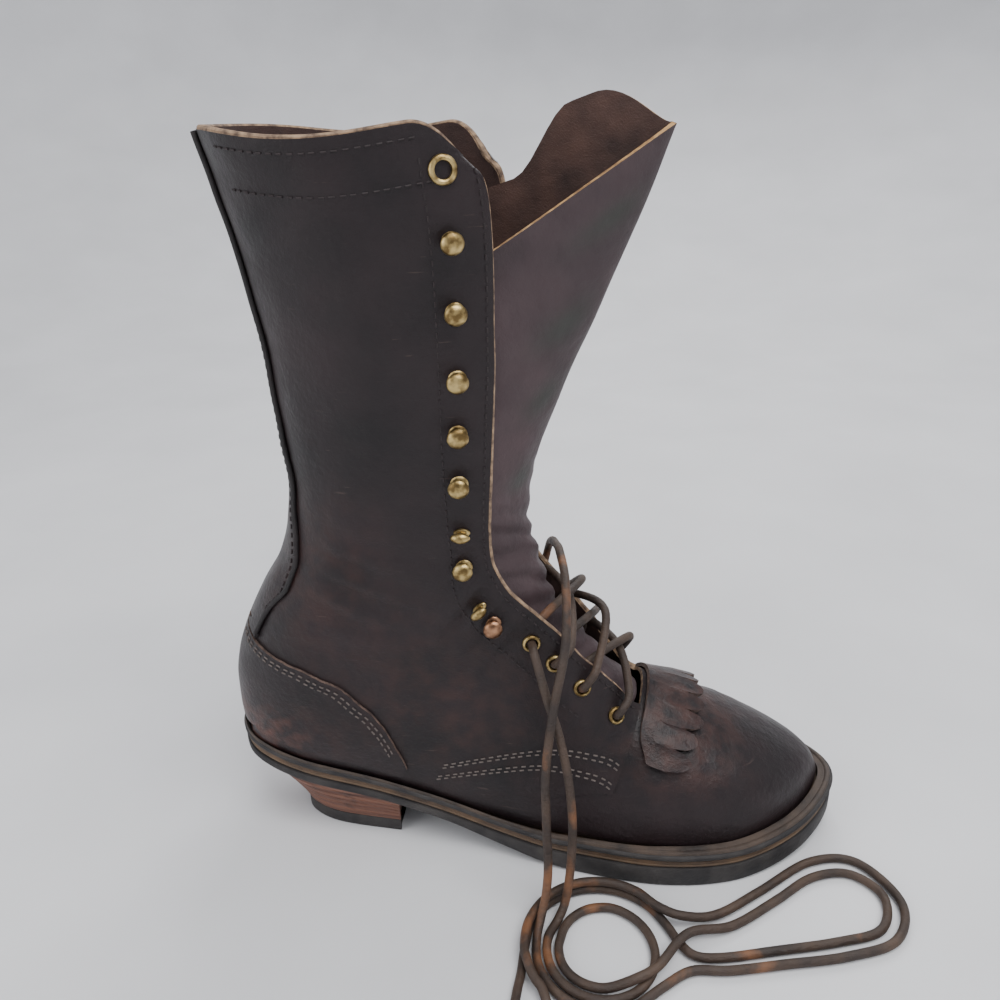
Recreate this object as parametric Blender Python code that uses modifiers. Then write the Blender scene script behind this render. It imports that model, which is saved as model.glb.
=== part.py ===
"""Tall laced packer boot for the right foot, as an assembly of separate solids.

Tables and lengths are in millimetres and MM turns them to metres. +X runs to the toe, +Y to the wearer's left
(the inner side of this boot) and +Z up. The floor is z = 0.
"""
import functools
import math

import bmesh
import bpy
import numpy as np
from mathutils import Matrix, Vector
from mathutils.bvhtree import BVHTree

MM = 0.001
ORIGIN_X = 153.7
GAP = 0.3
FOOT_GAP = 1.2

# Sole sizes
SOLE_LENGTH = 305.0
WELT_HEIGHT = 4.6
MIDSOLE = 4.0
TOP_LIFT = 7.0
INSOLE = 3.0

# Wall of the upper, and how far the quarters stand proud of the vamp that they lap
WALL = 1.8
LAP = 1.2

# Sole outline seen from above: a closed smooth curve, from the back round the outer side to the toe and back
SOLE_OUTLINE = [
    # x, y
    (2.5, 0.0),
    (6.0, -15.0),
    (17.0, -27.0),
    (42.0, -34.5),
    (85.0, -35.5),
    (130.0, -40.0),
    (175.0, -49.0),
    (215.0, -54.0),
    (250.0, -49.0),
    (279.0, -33.5),
    (297.5, -14.0),
    (305.0, 5.0),
    (298.0, 24.0),
    (280.0, 39.0),
    (250.0, 50.0),
    (215.0, 51.0),
    (175.0, 42.0),
    (130.0, 31.0),
    (85.0, 32.5),
    (42.0, 34.5),
    (17.0, 27.0),
    (6.0, 15.0),
]
TOE_POINT = 11

# Side view of the sole: height of the rubber outsole's underside and its thickness
SOLE_SIDE = [
    # x, underside, thickness
    (0.0, 42.0, 4.5),
    (40.0, 33.5, 4.5),
    (88.0, 22.5, 4.5),
    (112.0, 16.0, 5.0),
    (140.0, 6.5, 7.0),
    (165.0, 0.9, 9.5),
    (180.0, 0.0, 10.5),
    (248.0, 0.0, 10.5),
    (270.0, 1.2, 10.5),
    (290.0, 4.2, 10.0),
    (305.0, 7.5, 9.5),
]

# How far the welt stands out past the upper's foot, and how much of that the upper's side overhangs
WELT_WIDTH = [
    # x, width, overhung
    (0.0, 5.0, 3.6),
    (60.0, 5.4, 4.3),
    (100.0, 6.0, 5.0),
    (135.0, 6.6, 5.0),
    (170.0, 7.6, 4.2),
    (205.0, 8.0, 3.0),
    (225.0, 8.2, 2.0),
    (305.0, 8.4, 1.4),
]

# Sections of the foot, each a flat cut from its front line down to the edge where the upper meets the sole. The front
# line is the ridge of the vamp up to LAP_ROW, and then it parts into the two facing edges, half_gap off the middle.
FOOT_ROWS = [
    # front_x, front_z, ridge_y, half_gap, rear_x, bulge_out, bulge_in, widest, front_full, rear_full
    (296.3, 29.0, 5.0, 0.0, 295.6, 0.3, 0.3, 0.70, 2.3, 2.3),
    (293.5, 34.5, 5.0, 0.0, 294.0, 0.5, 0.5, 0.72, 2.3, 2.3),
    (287.5, 39.5, 5.0, 0.0, 288.0, 0.8, 0.8, 0.74, 2.25, 2.3),
    (279.0, 44.5, 4.5, 0.0, 279.0, 1.0, 1.0, 0.76, 2.2, 2.3),
    (266.0, 51.5, 4.0, 0.0, 264.0, 1.2, 1.2, 0.78, 2.1, 2.3),
    (250.0, 60.0, 3.0, 0.0, 246.0, 1.4, 1.4, 0.80, 2.0, 2.3),
    (233.0, 68.5, 2.0, 0.0, 225.0, 1.6, 1.6, 0.82, 1.9, 2.3),
    (218.0, 75.5, 1.0, 0.0, 203.0, 2.0, 2.0, 0.82, 1.85, 2.3),
    (207.0, 81.0, 0.0, 0.0, 182.0, 2.6, 2.8, 0.80, 1.8, 2.2),
    (193.5, 92.5, 0.0, 14.0, 159.0, 3.5, 4.0, 0.78, 1.6, 2.1),
    (180.0, 102.5, 0.0, 23.0, 136.0, 4.5, 5.5, 0.76, 1.4, 2.0),
    (168.0, 117.0, 0.0, 25.0, 112.0, 5.0, 6.5, 0.74, 1.35, 2.0),
    (155.5, 131.0, 0.0, 28.0, 89.0, 5.0, 6.5, 0.70, 1.35, 2.0),
    (145.0, 143.0, 0.0, 31.0, 63.0, 5.5, 5.5, 0.66, 1.35, 2.0),
    (140.0, 152.0, 0.0, 32.0, 42.0, 6.5, 6.5, 0.64, 1.35, 1.9),
    (137.6, 160.0, 0.0, 33.0, 26.0, 10.0, 10.0, 0.62, 1.35, 1.85),
    (137.0, 168.0, 0.0, 33.0, 15.5, 15.8, 15.8, 0.60, 1.35, 1.85),
    (137.0, 175.0, 0.0, 33.5, 9.6, 25.5, 25.5, 0.58, 1.35, 2.05),
]
# Row of FOOT_ROWS that the quarters start at, and the row where their lower edge runs under the sole
LAP_ROW = 8
LAP_END = 11

# Sections of the heel and the shaft, each a flat cut from the facing edges back to the back seam
SHAFT_ROWS = [
    # front_x, front_z, half_gap, rear_x, rear_z, half_width, widest, front_full, rear_full
    (137.2, 179.0, 33.5, 7.4, 50.9, 36.5, 0.58, 1.35, 2.3),
    (137.4, 183.0, 33.5, 6.0, 64.0, 36.5, 0.58, 1.35, 2.3),
    (137.6, 188.0, 33.5, 6.5, 80.0, 36.5, 0.57, 1.35, 2.3),
    (138.0, 193.0, 33.5, 9.0, 94.0, 36.8, 0.56, 1.35, 2.2),
    (138.3, 199.0, 33.5, 15.0, 110.0, 37.2, 0.54, 1.35, 2.15),
    (138.6, 205.0, 33.5, 26.0, 131.0, 38.0, 0.52, 1.35, 2.1),
    (139.0, 212.0, 34.0, 36.5, 148.0, 39.0, 0.50, 1.35, 2.1),
    (139.5, 221.0, 34.0, 43.0, 168.0, 40.5, 0.50, 1.35, 2.1),
    (140.2, 234.0, 34.0, 46.0, 190.0, 42.5, 0.50, 1.35, 2.1),
    (141.0, 254.0, 34.0, 44.5, 220.0, 45.5, 0.50, 1.35, 2.1),
    (141.3, 277.0, 34.0, 42.0, 254.0, 48.5, 0.50, 1.35, 2.1),
    (140.6, 300.0, 34.5, 38.2, 285.0, 51.0, 0.50, 1.35, 2.1),
    (138.0, 320.0, 35.0, 33.0, 308.0, 53.0, 0.50, 1.35, 2.1),
    (131.5, 333.0, 38.0, 28.2, 332.0, 54.5, 0.50, 1.35, 2.1),
]

# Half the opening between the facings where the quarters start, on LAP_ROW and on the next row
THROAT_START = 17.0
THROAT_NEXT = 20.0

# Where the quarter's lower edge crosses each section, as a share of the way down, by row. Behind LAP_END it only
# parts the columns of the net.
LAP_EDGE = [
    # row, share
    (0, 0.58),
    (8, 0.58),
    (9, 0.69),
    (10, 0.79),
    (11, 0.88),
    (12, 0.93),
    (14, 0.88),
    (17, 0.76),
    (19, 0.72),
    (31, 0.72),
]

# Tongue: middle line and its two side edges at rising levels
TONGUE_ROWS = [
    # middle_x, middle_z, edge_x, half_width, outer_z, inner_z, fullness
    (198.0, 71.0, 195.0, 13.0, 68.0, 68.0, 2.0),
    (185.0, 84.0, 180.0, 16.5, 79.0, 79.0, 2.0),
    (171.0, 99.0, 164.0, 20.0, 93.0, 93.0, 2.0),
    (157.0, 117.0, 148.0, 22.0, 111.0, 111.0, 2.0),
    (148.5, 139.0, 137.0, 25.0, 134.0, 134.0, 2.0),
    (147.5, 165.0, 131.0, 28.0, 160.0, 161.0, 1.9),
    (152.0, 188.0, 129.5, 29.0, 180.0, 184.0, 1.8),
    (165.0, 226.0, 130.0, 29.0, 209.0, 219.0, 1.6),
    (182.0, 264.0, 131.0, 29.0, 238.0, 254.0, 1.45),
    (197.0, 302.0, 132.0, 29.0, 264.0, 285.0, 1.35),
    (208.0, 330.0, 134.0, 29.0, 283.0, 306.0, 1.3),
]
TONGUE_THICK = 2.0

# Hooks and eyelets of one side: height along the facing, as the front height of the section that each stands on
HOOK_HEIGHTS = [140.5, 148.0, 167.5, 184.0, 205.0, 226.0, 247.0, 271.0, 295.0]
EYELET_HEIGHTS = [88.5, 101.0, 114.5, 126.0]
TOP_EYELET_HEIGHT = 319.0
SETBACK = 11.0
SHAFT_SETBACK = 15.5
EYELET_OUT = 4.2
TOP_EYELET_OUT = 5.2
EYELET_HOLE = 2.5
HOOK_HEAD = 4.1
SEAT_GAP = 0.9

# Lace: its thickness, the coil on the floor, and routes of the free runs through hand-chosen points
LACE = 4.0
LACE_FORWARD = 4.0
LACE_RISE = 9.0
COIL_X = 188.0
COIL_Y = -93.0
COIL_INNER = 19.0
COIL_OUTER = 36.0
COIL_HEIGHT = 13.0
LACE_ROUTES = {
    # name: points x, y, z
    "lace_end_lateral": [(157.0, -41.0, 114.0), (161.0, -46.5, 106.0), (168.0, -55.0, 88.0), (172.5, -61.0, 66.0),
                         (174.5, -64.0, 45.0), (174.0, -67.0, 26.0), (173.0, -70.0, 15.4)],
    "lace_end_medial": [(156.5, 41.0, 120.0), (160.0, 33.0, 132.0), (163.0, 16.0, 143.0), (166.0, -6.0, 151.0),
                        (170.0, -28.0, 146.0), (170.0, -46.0, 126.0), (165.0, -56.0, 100.0), (162.0, -62.0, 72.0),
                        (163.0, -66.0, 46.0), (164.0, -72.0, 26.0), (164.0, -76.0, 15.4)],
    "lace_loop_outer": [(225.6, -84.0, 2.4), (246.0, -76.0, 2.4), (268.0, -60.0, 2.4), (287.0, -45.5, 2.4),
                        (305.0, -42.0, 2.4), (317.0, -54.0, 2.4), (311.0, -72.0, 2.4), (291.0, -80.0, 2.4),
                        (262.0, -87.0, 2.4), (240.0, -92.0, 2.4), (226.0, -93.0, 2.4)],
    "lace_loop_inner": [(226.0, -98.0, 2.4), (242.0, -98.0, 2.4), (266.0, -93.0, 2.4), (293.0, -87.0, 2.4),
                        (316.0, -77.0, 2.4), (324.0, -56.0, 2.4), (310.0, -34.5, 2.4), (288.0, -36.0, 2.4),
                        (262.0, -55.0, 2.4), (240.0, -71.0, 2.4), (223.0, -77.5, 2.4)],
    "lace_tail_lateral": [(156.0, -114.0, 2.4), (153.0, -124.0, 2.4), (156.0, -136.0, 2.4), (166.0, -145.0, 2.4)],
    "lace_tail_medial": [(167.0, -124.0, 2.4), (169.0, -132.0, 2.4), (178.0, -140.0, 2.4), (192.0, -143.0, 2.4)],
}

MATERIALS = {
    # name: (colour, roughness, metallic)
    "oiled_leather": ((0.030, 0.021, 0.021, 1.0), 0.45, 0.0),
    "tongue_leather": ((0.060, 0.045, 0.045, 1.0), 0.55, 0.0),
    "insole_leather": ((0.180, 0.110, 0.065, 1.0), 0.70, 0.0),
    "welt_leather": ((0.060, 0.045, 0.035, 1.0), 0.60, 0.0),
    "midsole_leather": ((0.090, 0.055, 0.030, 1.0), 0.65, 0.0),
    "sole_rubber": ((0.020, 0.019, 0.020, 1.0), 0.70, 0.0),
    "stacked_leather": ((0.120, 0.050, 0.032, 1.0), 0.60, 0.0),
    "antique_brass": ((0.300, 0.210, 0.090, 1.0), 0.35, 1.0),
    "rawhide_lace": ((0.050, 0.032, 0.022, 1.0), 0.60, 0.0),
}


def curve_through(table_x, table_y):
    """A function of x: a smooth curve through a short table, with no overshoot between its rows."""
    table_x = np.asarray(table_x, float)
    table_y = np.asarray(table_y, float)
    run = np.diff(table_x)
    slope = np.diff(table_y) / run
    tangent = np.zeros(len(table_x))
    tangent[0] = slope[0]
    tangent[-1] = slope[-1]
    for k in range(1, len(table_x) - 1):
        if slope[k - 1] * slope[k] > 0.0:
            before = 2.0 * run[k] + run[k - 1]
            after = run[k] + 2.0 * run[k - 1]
            tangent[k] = (before + after) / (before / slope[k - 1] + after / slope[k])

    def value(x):
        x = np.clip(np.asarray(x, float), table_x[0], table_x[-1])
        k = np.clip(np.searchsorted(table_x, x, side="right") - 1, 0, len(run) - 1)
        t = (x - table_x[k]) / run[k]
        start = table_y[k] * (1.0 + 2.0 * t) * (1.0 - t) ** 2 + tangent[k] * run[k] * t * (1.0 - t) ** 2
        end = table_y[k + 1] * t * t * (3.0 - 2.0 * t) + tangent[k + 1] * run[k] * t * t * (t - 1.0)
        return start + end

    return value


def column(table, index):
    return [row[index] for row in table]


def through(points, per_span, closed=False):
    """Points along a smooth curve through hand-chosen ones."""
    points = np.asarray(points, float)
    count = len(points)
    spans = count if closed else count - 1
    found = []
    for k in range(spans):
        if closed:
            a, b, c, d = (points[(k + n) % count] for n in (-1, 0, 1, 2))
        else:
            a, b, c, d = (points[min(max(k + n, 0), count - 1)] for n in (-1, 0, 1, 2))
        for n in range(per_span):
            t = n / per_span
            found.append(
                0.5 * (2.0 * b + (c - a) * t + (2.0 * a - 5.0 * b + 4.0 * c - d) * t * t
                       + (3.0 * b - a - 3.0 * c + d) * t ** 3)
            )
    if not closed:
        found.append(points[-1])
    return np.array(found)


underside = curve_through(column(SOLE_SIDE, 0), column(SOLE_SIDE, 1))
outsole_thickness = curve_through(column(SOLE_SIDE, 0), column(SOLE_SIDE, 2))
welt_width = curve_through(column(WELT_WIDTH, 0), column(WELT_WIDTH, 1))
welt_overhung = curve_through(column(WELT_WIDTH, 0), column(WELT_WIDTH, 2))
lap_share = curve_through(column(LAP_EDGE, 0), column(LAP_EDGE, 1))


def outsole_top(x):
    return underside(x) + outsole_thickness(x)


def midsole_top(x):
    return outsole_top(x) + GAP + MIDSOLE


def upper_base(x):
    return midsole_top(x) + FOOT_GAP


def outline(per_span, inset):
    """Closed outline of the sole, set in by a length that may differ along it. Runs from the back, outer side first."""
    points = through(SOLE_OUTLINE, per_span, closed=True)
    ahead = np.roll(points, -1, axis=0) - np.roll(points, 1, axis=0)
    ahead = ahead / np.linalg.norm(ahead, axis=1)[:, None]
    inward = np.stack([-ahead[:, 1], ahead[:, 0]], axis=1)
    return points + inward * np.broadcast_to(inset, len(points))[:, None]


def feather_line(side):
    """x and y of the upper's lower edge from heel to toe: side -1 is the outer side, 1 the inner side."""
    per_span = 12
    points = outline(per_span, welt_width(through(SOLE_OUTLINE, per_span, closed=True)[:, 0]))
    toe = TOE_POINT * per_span
    half = points[: toe + 1] if side < 0 else np.vstack([points[toe:], points[:1]])[::-1]
    return half[:, 0], half[:, 1]


def section_curves(side):
    """Functions of the row number for every value that shapes one half of a section."""
    foot_count = len(FOOT_ROWS)
    shaft_count = len(SHAFT_ROWS)
    ends = np.interp(column(FOOT_ROWS, 4), *feather_line(side))
    bulges = np.array(column(FOOT_ROWS, 5 if side < 0 else 6))
    values = [
        column(FOOT_ROWS, 0) + column(SHAFT_ROWS, 0),
        [row[2] + side * row[3] for row in FOOT_ROWS] + [side * row[2] for row in SHAFT_ROWS],
        column(FOOT_ROWS, 1) + column(SHAFT_ROWS, 1),
        column(FOOT_ROWS, 4) + column(SHAFT_ROWS, 3),
        [float(upper_base(x)) for x in column(FOOT_ROWS, 4)] + column(SHAFT_ROWS, 4),
        list(ends) + [0.0] * shaft_count,
        list(ends + side * bulges) + [side * half for half in column(SHAFT_ROWS, 5)],
        column(FOOT_ROWS, 7) + column(SHAFT_ROWS, 6),
        column(FOOT_ROWS, 8) + column(SHAFT_ROWS, 7),
        column(FOOT_ROWS, 9) + column(SHAFT_ROWS, 8),
    ]
    places = np.arange(foot_count + shaft_count)
    return [curve_through(places, value) for value in values]


SECTION_CURVES = {-1: section_curves(-1), 1: section_curves(1)}


def section(row, side, shares):
    """Points of one section of the upper, at shares of the way from its front line to its rear or lower edge."""
    shares = np.asarray(shares, float)
    front_x, front_y, front_z, rear_x, rear_z, end, width, widest, front_full, rear_full = (
        float(value(row)) for value in SECTION_CURVES[side]
    )
    fore = np.clip(1.0 - shares / widest, 0.0, 1.0)
    aft = np.clip((shares - widest) / (1.0 - widest), 0.0, 1.0)
    y_fore = front_y + (width - front_y) * (1.0 - fore ** front_full) ** (1.0 / front_full)
    y_aft = end + (width - end) * (1.0 - aft ** rear_full) ** (1.0 / rear_full)
    y = np.where(shares < widest, y_fore, y_aft)
    x = front_x + (rear_x - front_x) * shares
    z = front_z + (rear_z - front_z) * shares
    return np.stack([x, y, z], axis=1)


def evenly(row, side, start, stop, count):
    """Points evenly spaced along a section between two shares."""
    shares = start + (stop - start) * (1.0 - np.cos(np.linspace(0.0, math.pi, 160))) / 2.0
    points = section(row, side, shares)
    length = np.concatenate([[0.0], np.cumsum(np.linalg.norm(np.diff(points, axis=0), axis=1))])
    wanted = np.interp(np.linspace(0.0, length[-1], count + 1), length, shares)
    return section(row, side, wanted)


def throat_share(row, side):
    """Share of the way down a section at which the facing's edge lies: 0 once the front line is the edge itself."""
    if row >= LAP_ROW + 2:
        return 0.0
    half_gap = THROAT_START + (THROAT_NEXT - THROAT_START) * (row - LAP_ROW)
    shares = np.linspace(0.0, 0.5, 400)
    out = np.abs(section(row, side, shares)[:, 1])
    return float(np.interp(half_gap, np.maximum.accumulate(out), shares))


def row_places(spacing):
    """Row values for a loft: every row of the tables, and as many between as keep them within a spacing."""
    last = len(FOOT_ROWS) + len(SHAFT_ROWS) - 1
    places = []
    for k in range(last):
        near = section(k, -1, [0.0, 1.0])
        far = section(k + 1, -1, [0.0, 1.0])
        pieces = max(1, math.ceil(np.linalg.norm(far - near, axis=1).max() / spacing))
        places.extend(k + n / pieces for n in range(pieces))
    return places + [float(last)]


ROW_SPACING = 23.5
BRIDGE_COLUMNS = 2
QUARTER_COLUMNS = 5
LOW_COLUMNS = 4
COLUMNS = BRIDGE_COLUMNS + QUARTER_COLUMNS + LOW_COLUMNS
LAP_COLUMN = BRIDGE_COLUMNS + QUARTER_COLUMNS


def upper_net(places):
    """The upper's own surface as a net: points, faces, and for each face whether the quarters cover it.

    Both halves share the ridge of the vamp and the back seam. The toe row closes on one point.
    """
    points = []
    index = {}

    def place(key, point):
        if key not in index:
            index[key] = len(points)
            points.append(point)
        return index[key]

    first_shaft = len(FOOT_ROWS)
    tip_x = SOLE_LENGTH - float(welt_width(SOLE_LENGTH))
    tip = np.array([tip_x, 5.0, float(upper_base(tip_x))])
    faces = []
    covered = []
    for side in (-1, 1):
        grid = []
        for i, row in enumerate(places):
            edge = throat_share(max(row, LAP_ROW), side)
            low = float(lap_share(row))
            strips = [
                evenly(row, side, 0.0, edge, BRIDGE_COLUMNS)[:-1],
                evenly(row, side, edge, low, QUARTER_COLUMNS)[:-1],
                evenly(row, side, low, 1.0, LOW_COLUMNS),
            ]
            line = []
            for j, point in enumerate(np.vstack(strips)):
                ridge = j == 0
                seam = j == COLUMNS and row >= first_shaft
                line.append(place((i, j, 0 if ridge or seam else side), point))
            grid.append(line)
        tip_index = place("tip", tip)
        for j in range(COLUMNS):
            face = (tip_index, grid[0][j], grid[0][j + 1])
            faces.append(face if side < 0 else face[::-1])
            covered.append(False)
        for i in range(len(places) - 1):
            behind = places[i] >= LAP_ROW
            for j in range(COLUMNS):
                if behind and j < BRIDGE_COLUMNS:
                    continue
                face = (grid[i][j], grid[i + 1][j], grid[i + 1][j + 1], grid[i][j + 1])
                faces.append(face if side < 0 else face[::-1])
                covered.append(behind and j < LAP_COLUMN)
    used = sorted({k for face in faces for k in face})
    renumber = {old: new for new, old in enumerate(used)}
    row_of_point = {}
    for key, k in index.items():
        if k in renumber:
            row_of_point[renumber[k]] = 0.0 if key == "tip" else places[key[0]]
    faces = [tuple(renumber[k] for k in face) for face in faces]
    return np.array(points)[used], faces, covered, row_of_point


def point_normals(points, faces):
    normals = np.zeros_like(points)
    for face in faces:
        corners = points[list(face)]
        across = np.cross(corners[2] - corners[0], corners[-1] - corners[1])
        if len(face) == 3:
            across = np.cross(corners[1] - corners[0], corners[2] - corners[0])
        for k in face:
            normals[k] += across
    return normals / np.linalg.norm(normals, axis=1)[:, None]


def lap_rise(row, covers):
    """How far the outer face stands off the net: the quarters lap the vamp, and the step dies out at the sole."""
    if covers or row >= LAP_END:
        return LAP
    if row <= LAP_ROW:
        return 0.0
    t = (row - LAP_ROW) / (LAP_END - LAP_ROW)
    return LAP * t * t * (3.0 - 2.0 * t)


def wall_between(points, normals, faces, covered, row_of_point, outer, inner):
    """A closed wall on a net, from one offset to another, with a step in its outer face where the quarters start."""
    found = [points[k] + normals[k] * inner for k in range(len(points))]
    raised = {}

    def top(k, covers):
        rise = round(lap_rise(row_of_point[k], covers), 6)
        if (k, rise) not in raised:
            raised[(k, rise)] = len(found)
            found.append(points[k] + normals[k] * (outer + rise))
        return raised[(k, rise)]

    wall = []
    edges = {}
    for face, covers in zip(faces, covered):
        wall.append(tuple(top(k, covers) for k in face))
        wall.append(tuple(reversed(face)))
        for n, k in enumerate(face):
            after = face[(n + 1) % len(face)]
            edges.setdefault((min(k, after), max(k, after)), []).append((k, after, covers))
    rims = {}
    for uses in edges.values():
        k, after, covers = uses[0]
        if len(uses) == 1:
            wall.append((top(after, covers), top(k, covers), k, after))
            for end in (k, after):
                rims.setdefault(end, set()).add(top(end, covers))
        elif uses[0][2] != uses[1][2]:
            other = uses[1][2]
            wall.append((top(after, covers), top(k, covers), top(k, other), top(after, other)))
    # Where the step runs out at a free edge, a small face closes its end
    wall.extend((*tops, k) for k, tops in rims.items() if len(tops) == 2)
    return found, wall


def mesh_object(name, points, faces, material, collection):
    """One named object from points in millimetres, with faces turned outward."""
    mesh = bpy.data.meshes.new(name)
    build = bmesh.new()
    corners = [build.verts.new(Vector(point) * MM) for point in points]
    for face in faces:
        kept = list(dict.fromkeys(face))
        if len(kept) > 2:
            build.faces.new([corners[k] for k in kept])
    bmesh.ops.delete(build, geom=[v for v in build.verts if not v.link_faces], context="VERTS")
    bmesh.ops.recalc_face_normals(build, faces=build.faces)
    if build.calc_volume(signed=True) < 0.0:
        bmesh.ops.reverse_faces(build, faces=build.faces)
    build.to_mesh(mesh)
    build.free()
    obj = bpy.data.objects.new(name, mesh)
    obj.location.x = -ORIGIN_X * MM
    collection.objects.link(obj)
    if material:
        mesh.materials.append(bpy.data.materials[material])
    return obj


def stacked(name, levels, halfway, material, collection):
    """A plate from closed outlines one above another, each the same count of points, capped by strips across."""
    levels = [np.asarray(level, float) for level in levels]
    count = len(levels[0])
    points = np.vstack(levels)
    faces = []
    for n in range(len(levels) - 1):
        for k in range(count):
            after = (k + 1) % count
            faces.append((n * count + k, n * count + after, (n + 1) * count + after, (n + 1) * count + k))
    for base in (0, (len(levels) - 1) * count):
        for k in range(halfway):
            pairs = (k, k + 1, (count - k - 1) % count, (count - k) % count)
            faces.append(tuple(base + n for n in pairs))
    return mesh_object(name, points, faces, material, collection)


def swept_ring(name, rings, material, collection):
    """A closed ring from sections round a path, each the same count of points."""
    count = len(rings[0])
    points = np.vstack(rings)
    faces = []
    for n in range(len(rings)):
        for k in range(count):
            after = (k + 1) % count
            there = (n + 1) % len(rings)
            faces.append((n * count + k, n * count + after, there * count + after, there * count + k))
    return mesh_object(name, points, faces, material, collection)


def boolean(obj, cutter, operation):
    modifier = obj.modifiers.new(operation.lower(), "BOOLEAN")
    modifier.object = cutter
    modifier.operation = operation
    modifier.solver = "MANIFOLD"


def hide_cutter(cutter):
    cutter.hide_render = True
    cutter.display_type = "WIRE"


def tube(name, route, diameter, per_span, resolution, material, collection):
    """A round cord along a smooth route through hand-chosen points."""
    curve = bpy.data.curves.new(name, "CURVE")
    curve.dimensions = "3D"
    curve.bevel_depth = diameter * 0.5 * MM
    curve.bevel_resolution = resolution
    curve.use_fill_caps = True
    points = through(route, per_span)
    spline = curve.splines.new("POLY")
    spline.points.add(len(points) - 1)
    for target, point in zip(spline.points, points):
        target.co = (*(Vector(point) * MM), 1.0)
    obj = bpy.data.objects.new(name, curve)
    obj.location.x = -ORIGIN_X * MM
    curve.materials.append(bpy.data.materials[material])
    collection.objects.link(obj)
    return obj


def turned(name, profile, steps, place, material, collection):
    """A body turned about its own Z axis, set by a matrix. The profile of radius and height runs from below, outer side."""
    mesh = bpy.data.meshes.new(name)
    on_axis = profile[0][0] == 0.0
    points = [Vector((radius * MM, 0.0, height * MM)) for radius, height in reversed(profile)]
    edges = [(k, k + 1) for k in range(len(points) - 1)]
    if not on_axis:
        edges.append((len(points) - 1, 0))
    mesh.from_pydata(points, edges, [])
    mesh.materials.append(bpy.data.materials[material])
    obj = bpy.data.objects.new(name, mesh)
    screw = obj.modifiers.new("turn", "SCREW")
    screw.steps = steps
    screw.render_steps = steps
    screw.use_merge_vertices = True
    screw.merge_threshold = 0.00001
    obj.matrix_world = place
    collection.objects.link(obj)
    return obj


@functools.cache
def upper_wall():
    """Points and faces of the upper's wall, before its eyelet holes."""
    points, faces, covered, row_of_point = upper_net(row_places(ROW_SPACING))
    normals = point_normals(points, faces)
    return wall_between(points, normals, faces, covered, row_of_point, 0.0, -WALL)


@functools.cache
def upper_tree():
    points, faces = upper_wall()
    kept = [tuple(dict.fromkeys(face)) for face in faces]
    return BVHTree.FromPolygons([Vector(point) for point in points], [face for face in kept if len(face) > 2])


def on_facing(front_z, side, setback, lift):
    """A matrix that stands on the facing at a height: Z out of the leather, X up along the facing's edge."""
    rows = np.linspace(LAP_ROW, len(FOOT_ROWS) + len(SHAFT_ROWS) - 1, 300)
    row = float(np.interp(front_z, SECTION_CURVES[side][2](rows), rows))

    def spot(at_row, back):
        start = throat_share(at_row, side)
        shares = np.linspace(start, 0.8, 240)
        points = section(at_row, side, shares)
        length = np.concatenate([[0.0], np.cumsum(np.linalg.norm(np.diff(points, axis=0), axis=1))])
        return np.array([np.interp(back, length, points[:, n]) for n in range(3)])

    here = spot(row, setback)
    along = Vector(spot(min(row + 0.2, rows[-1]), setback) - spot(row - 0.2, setback)).normalized()
    across = Vector(spot(row, setback + 4.0) - spot(row, setback - 4.0)).normalized()
    out = (along.cross(across) if side < 0 else across.cross(along)).normalized()
    seat, facet, _, _ = upper_tree().ray_cast(Vector(here) + out * 6.0, -out)
    if facet.dot(out) > 0.7:
        out = facet
    centre = (seat + out * lift - Vector((ORIGIN_X, 0.0, 0.0))) * MM
    along = (along - out * along.dot(out)).normalized()
    third = out.cross(along)
    turn = Matrix((along, third, out)).transposed().to_4x4()
    return Matrix.Translation(centre) @ turn


def make_materials():
    for name, (colour, roughness, metallic) in MATERIALS.items():
        material = bpy.data.materials.new(name)
        material.use_nodes = True
        shader = material.node_tree.nodes["Principled BSDF"]
        shader.inputs["Base Color"].default_value = colour
        shader.inputs["Roughness"].default_value = roughness
        shader.inputs["Metallic"].default_value = metallic


def with_height(points, heights):
    return np.column_stack([points, heights])


def make_sole(parts):
    """Outsole, midsole, welt and insole, each from the sole's outline and its side view."""
    per_span = 2
    halfway = TOE_POINT * per_span
    full = outline(per_span, 0.0)
    x = full[:, 0]
    inner = outline(per_span, 1.5)
    soft = outline(per_span, 0.6)
    stacked(
        "outsole",
        [
            with_height(inner, underside(x)),
            with_height(full, underside(x) + 1.2),
            with_height(full, outsole_top(x) - 1.0),
            with_height(soft, outsole_top(x)),
        ],
        halfway, "sole_rubber", parts,
    )
    edge = outline(per_span, 1.0)
    stacked(
        "midsole",
        [with_height(edge, outsole_top(x) + GAP), with_height(edge, midsole_top(x))],
        halfway, "midsole_leather", parts,
    )
    width = welt_width(x)
    rings = []
    base = midsole_top(x) + GAP
    # The welt's section: flat on the upper's side, a groove along the middle and a rounded bead at the edge
    for k in range(len(full)):
        profile = []
        for share, height in ((0.0, 0.0), (0.0, 0.62), (0.10, 1.0), (0.42, 1.0), (0.55, 0.82), (1.0, 0.82), (1.0, 0.0)):
            out = share * (width[k] - welt_overhung(x[k]))
            point = outline_point(full, k, out)
            profile.append((*point, base[k] + height * WELT_HEIGHT))
        rings.append(profile)
    swept_ring("welt", rings, "welt_leather", parts)
    inside = outline(per_span, width + WALL + 2.0)
    floor = midsole_top(inside[:, 0]) + GAP
    stacked(
        "insole",
        [with_height(inside, floor), with_height(inside, floor + INSOLE)],
        halfway, "insole_leather", parts,
    )


def outline_point(points, k, inset):
    """A point of a closed outline moved inward."""
    ahead = points[(k + 1) % len(points)] - points[k - 1]
    ahead = ahead / np.linalg.norm(ahead)
    return points[k] + inset * np.array([-ahead[1], ahead[0]])


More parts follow.
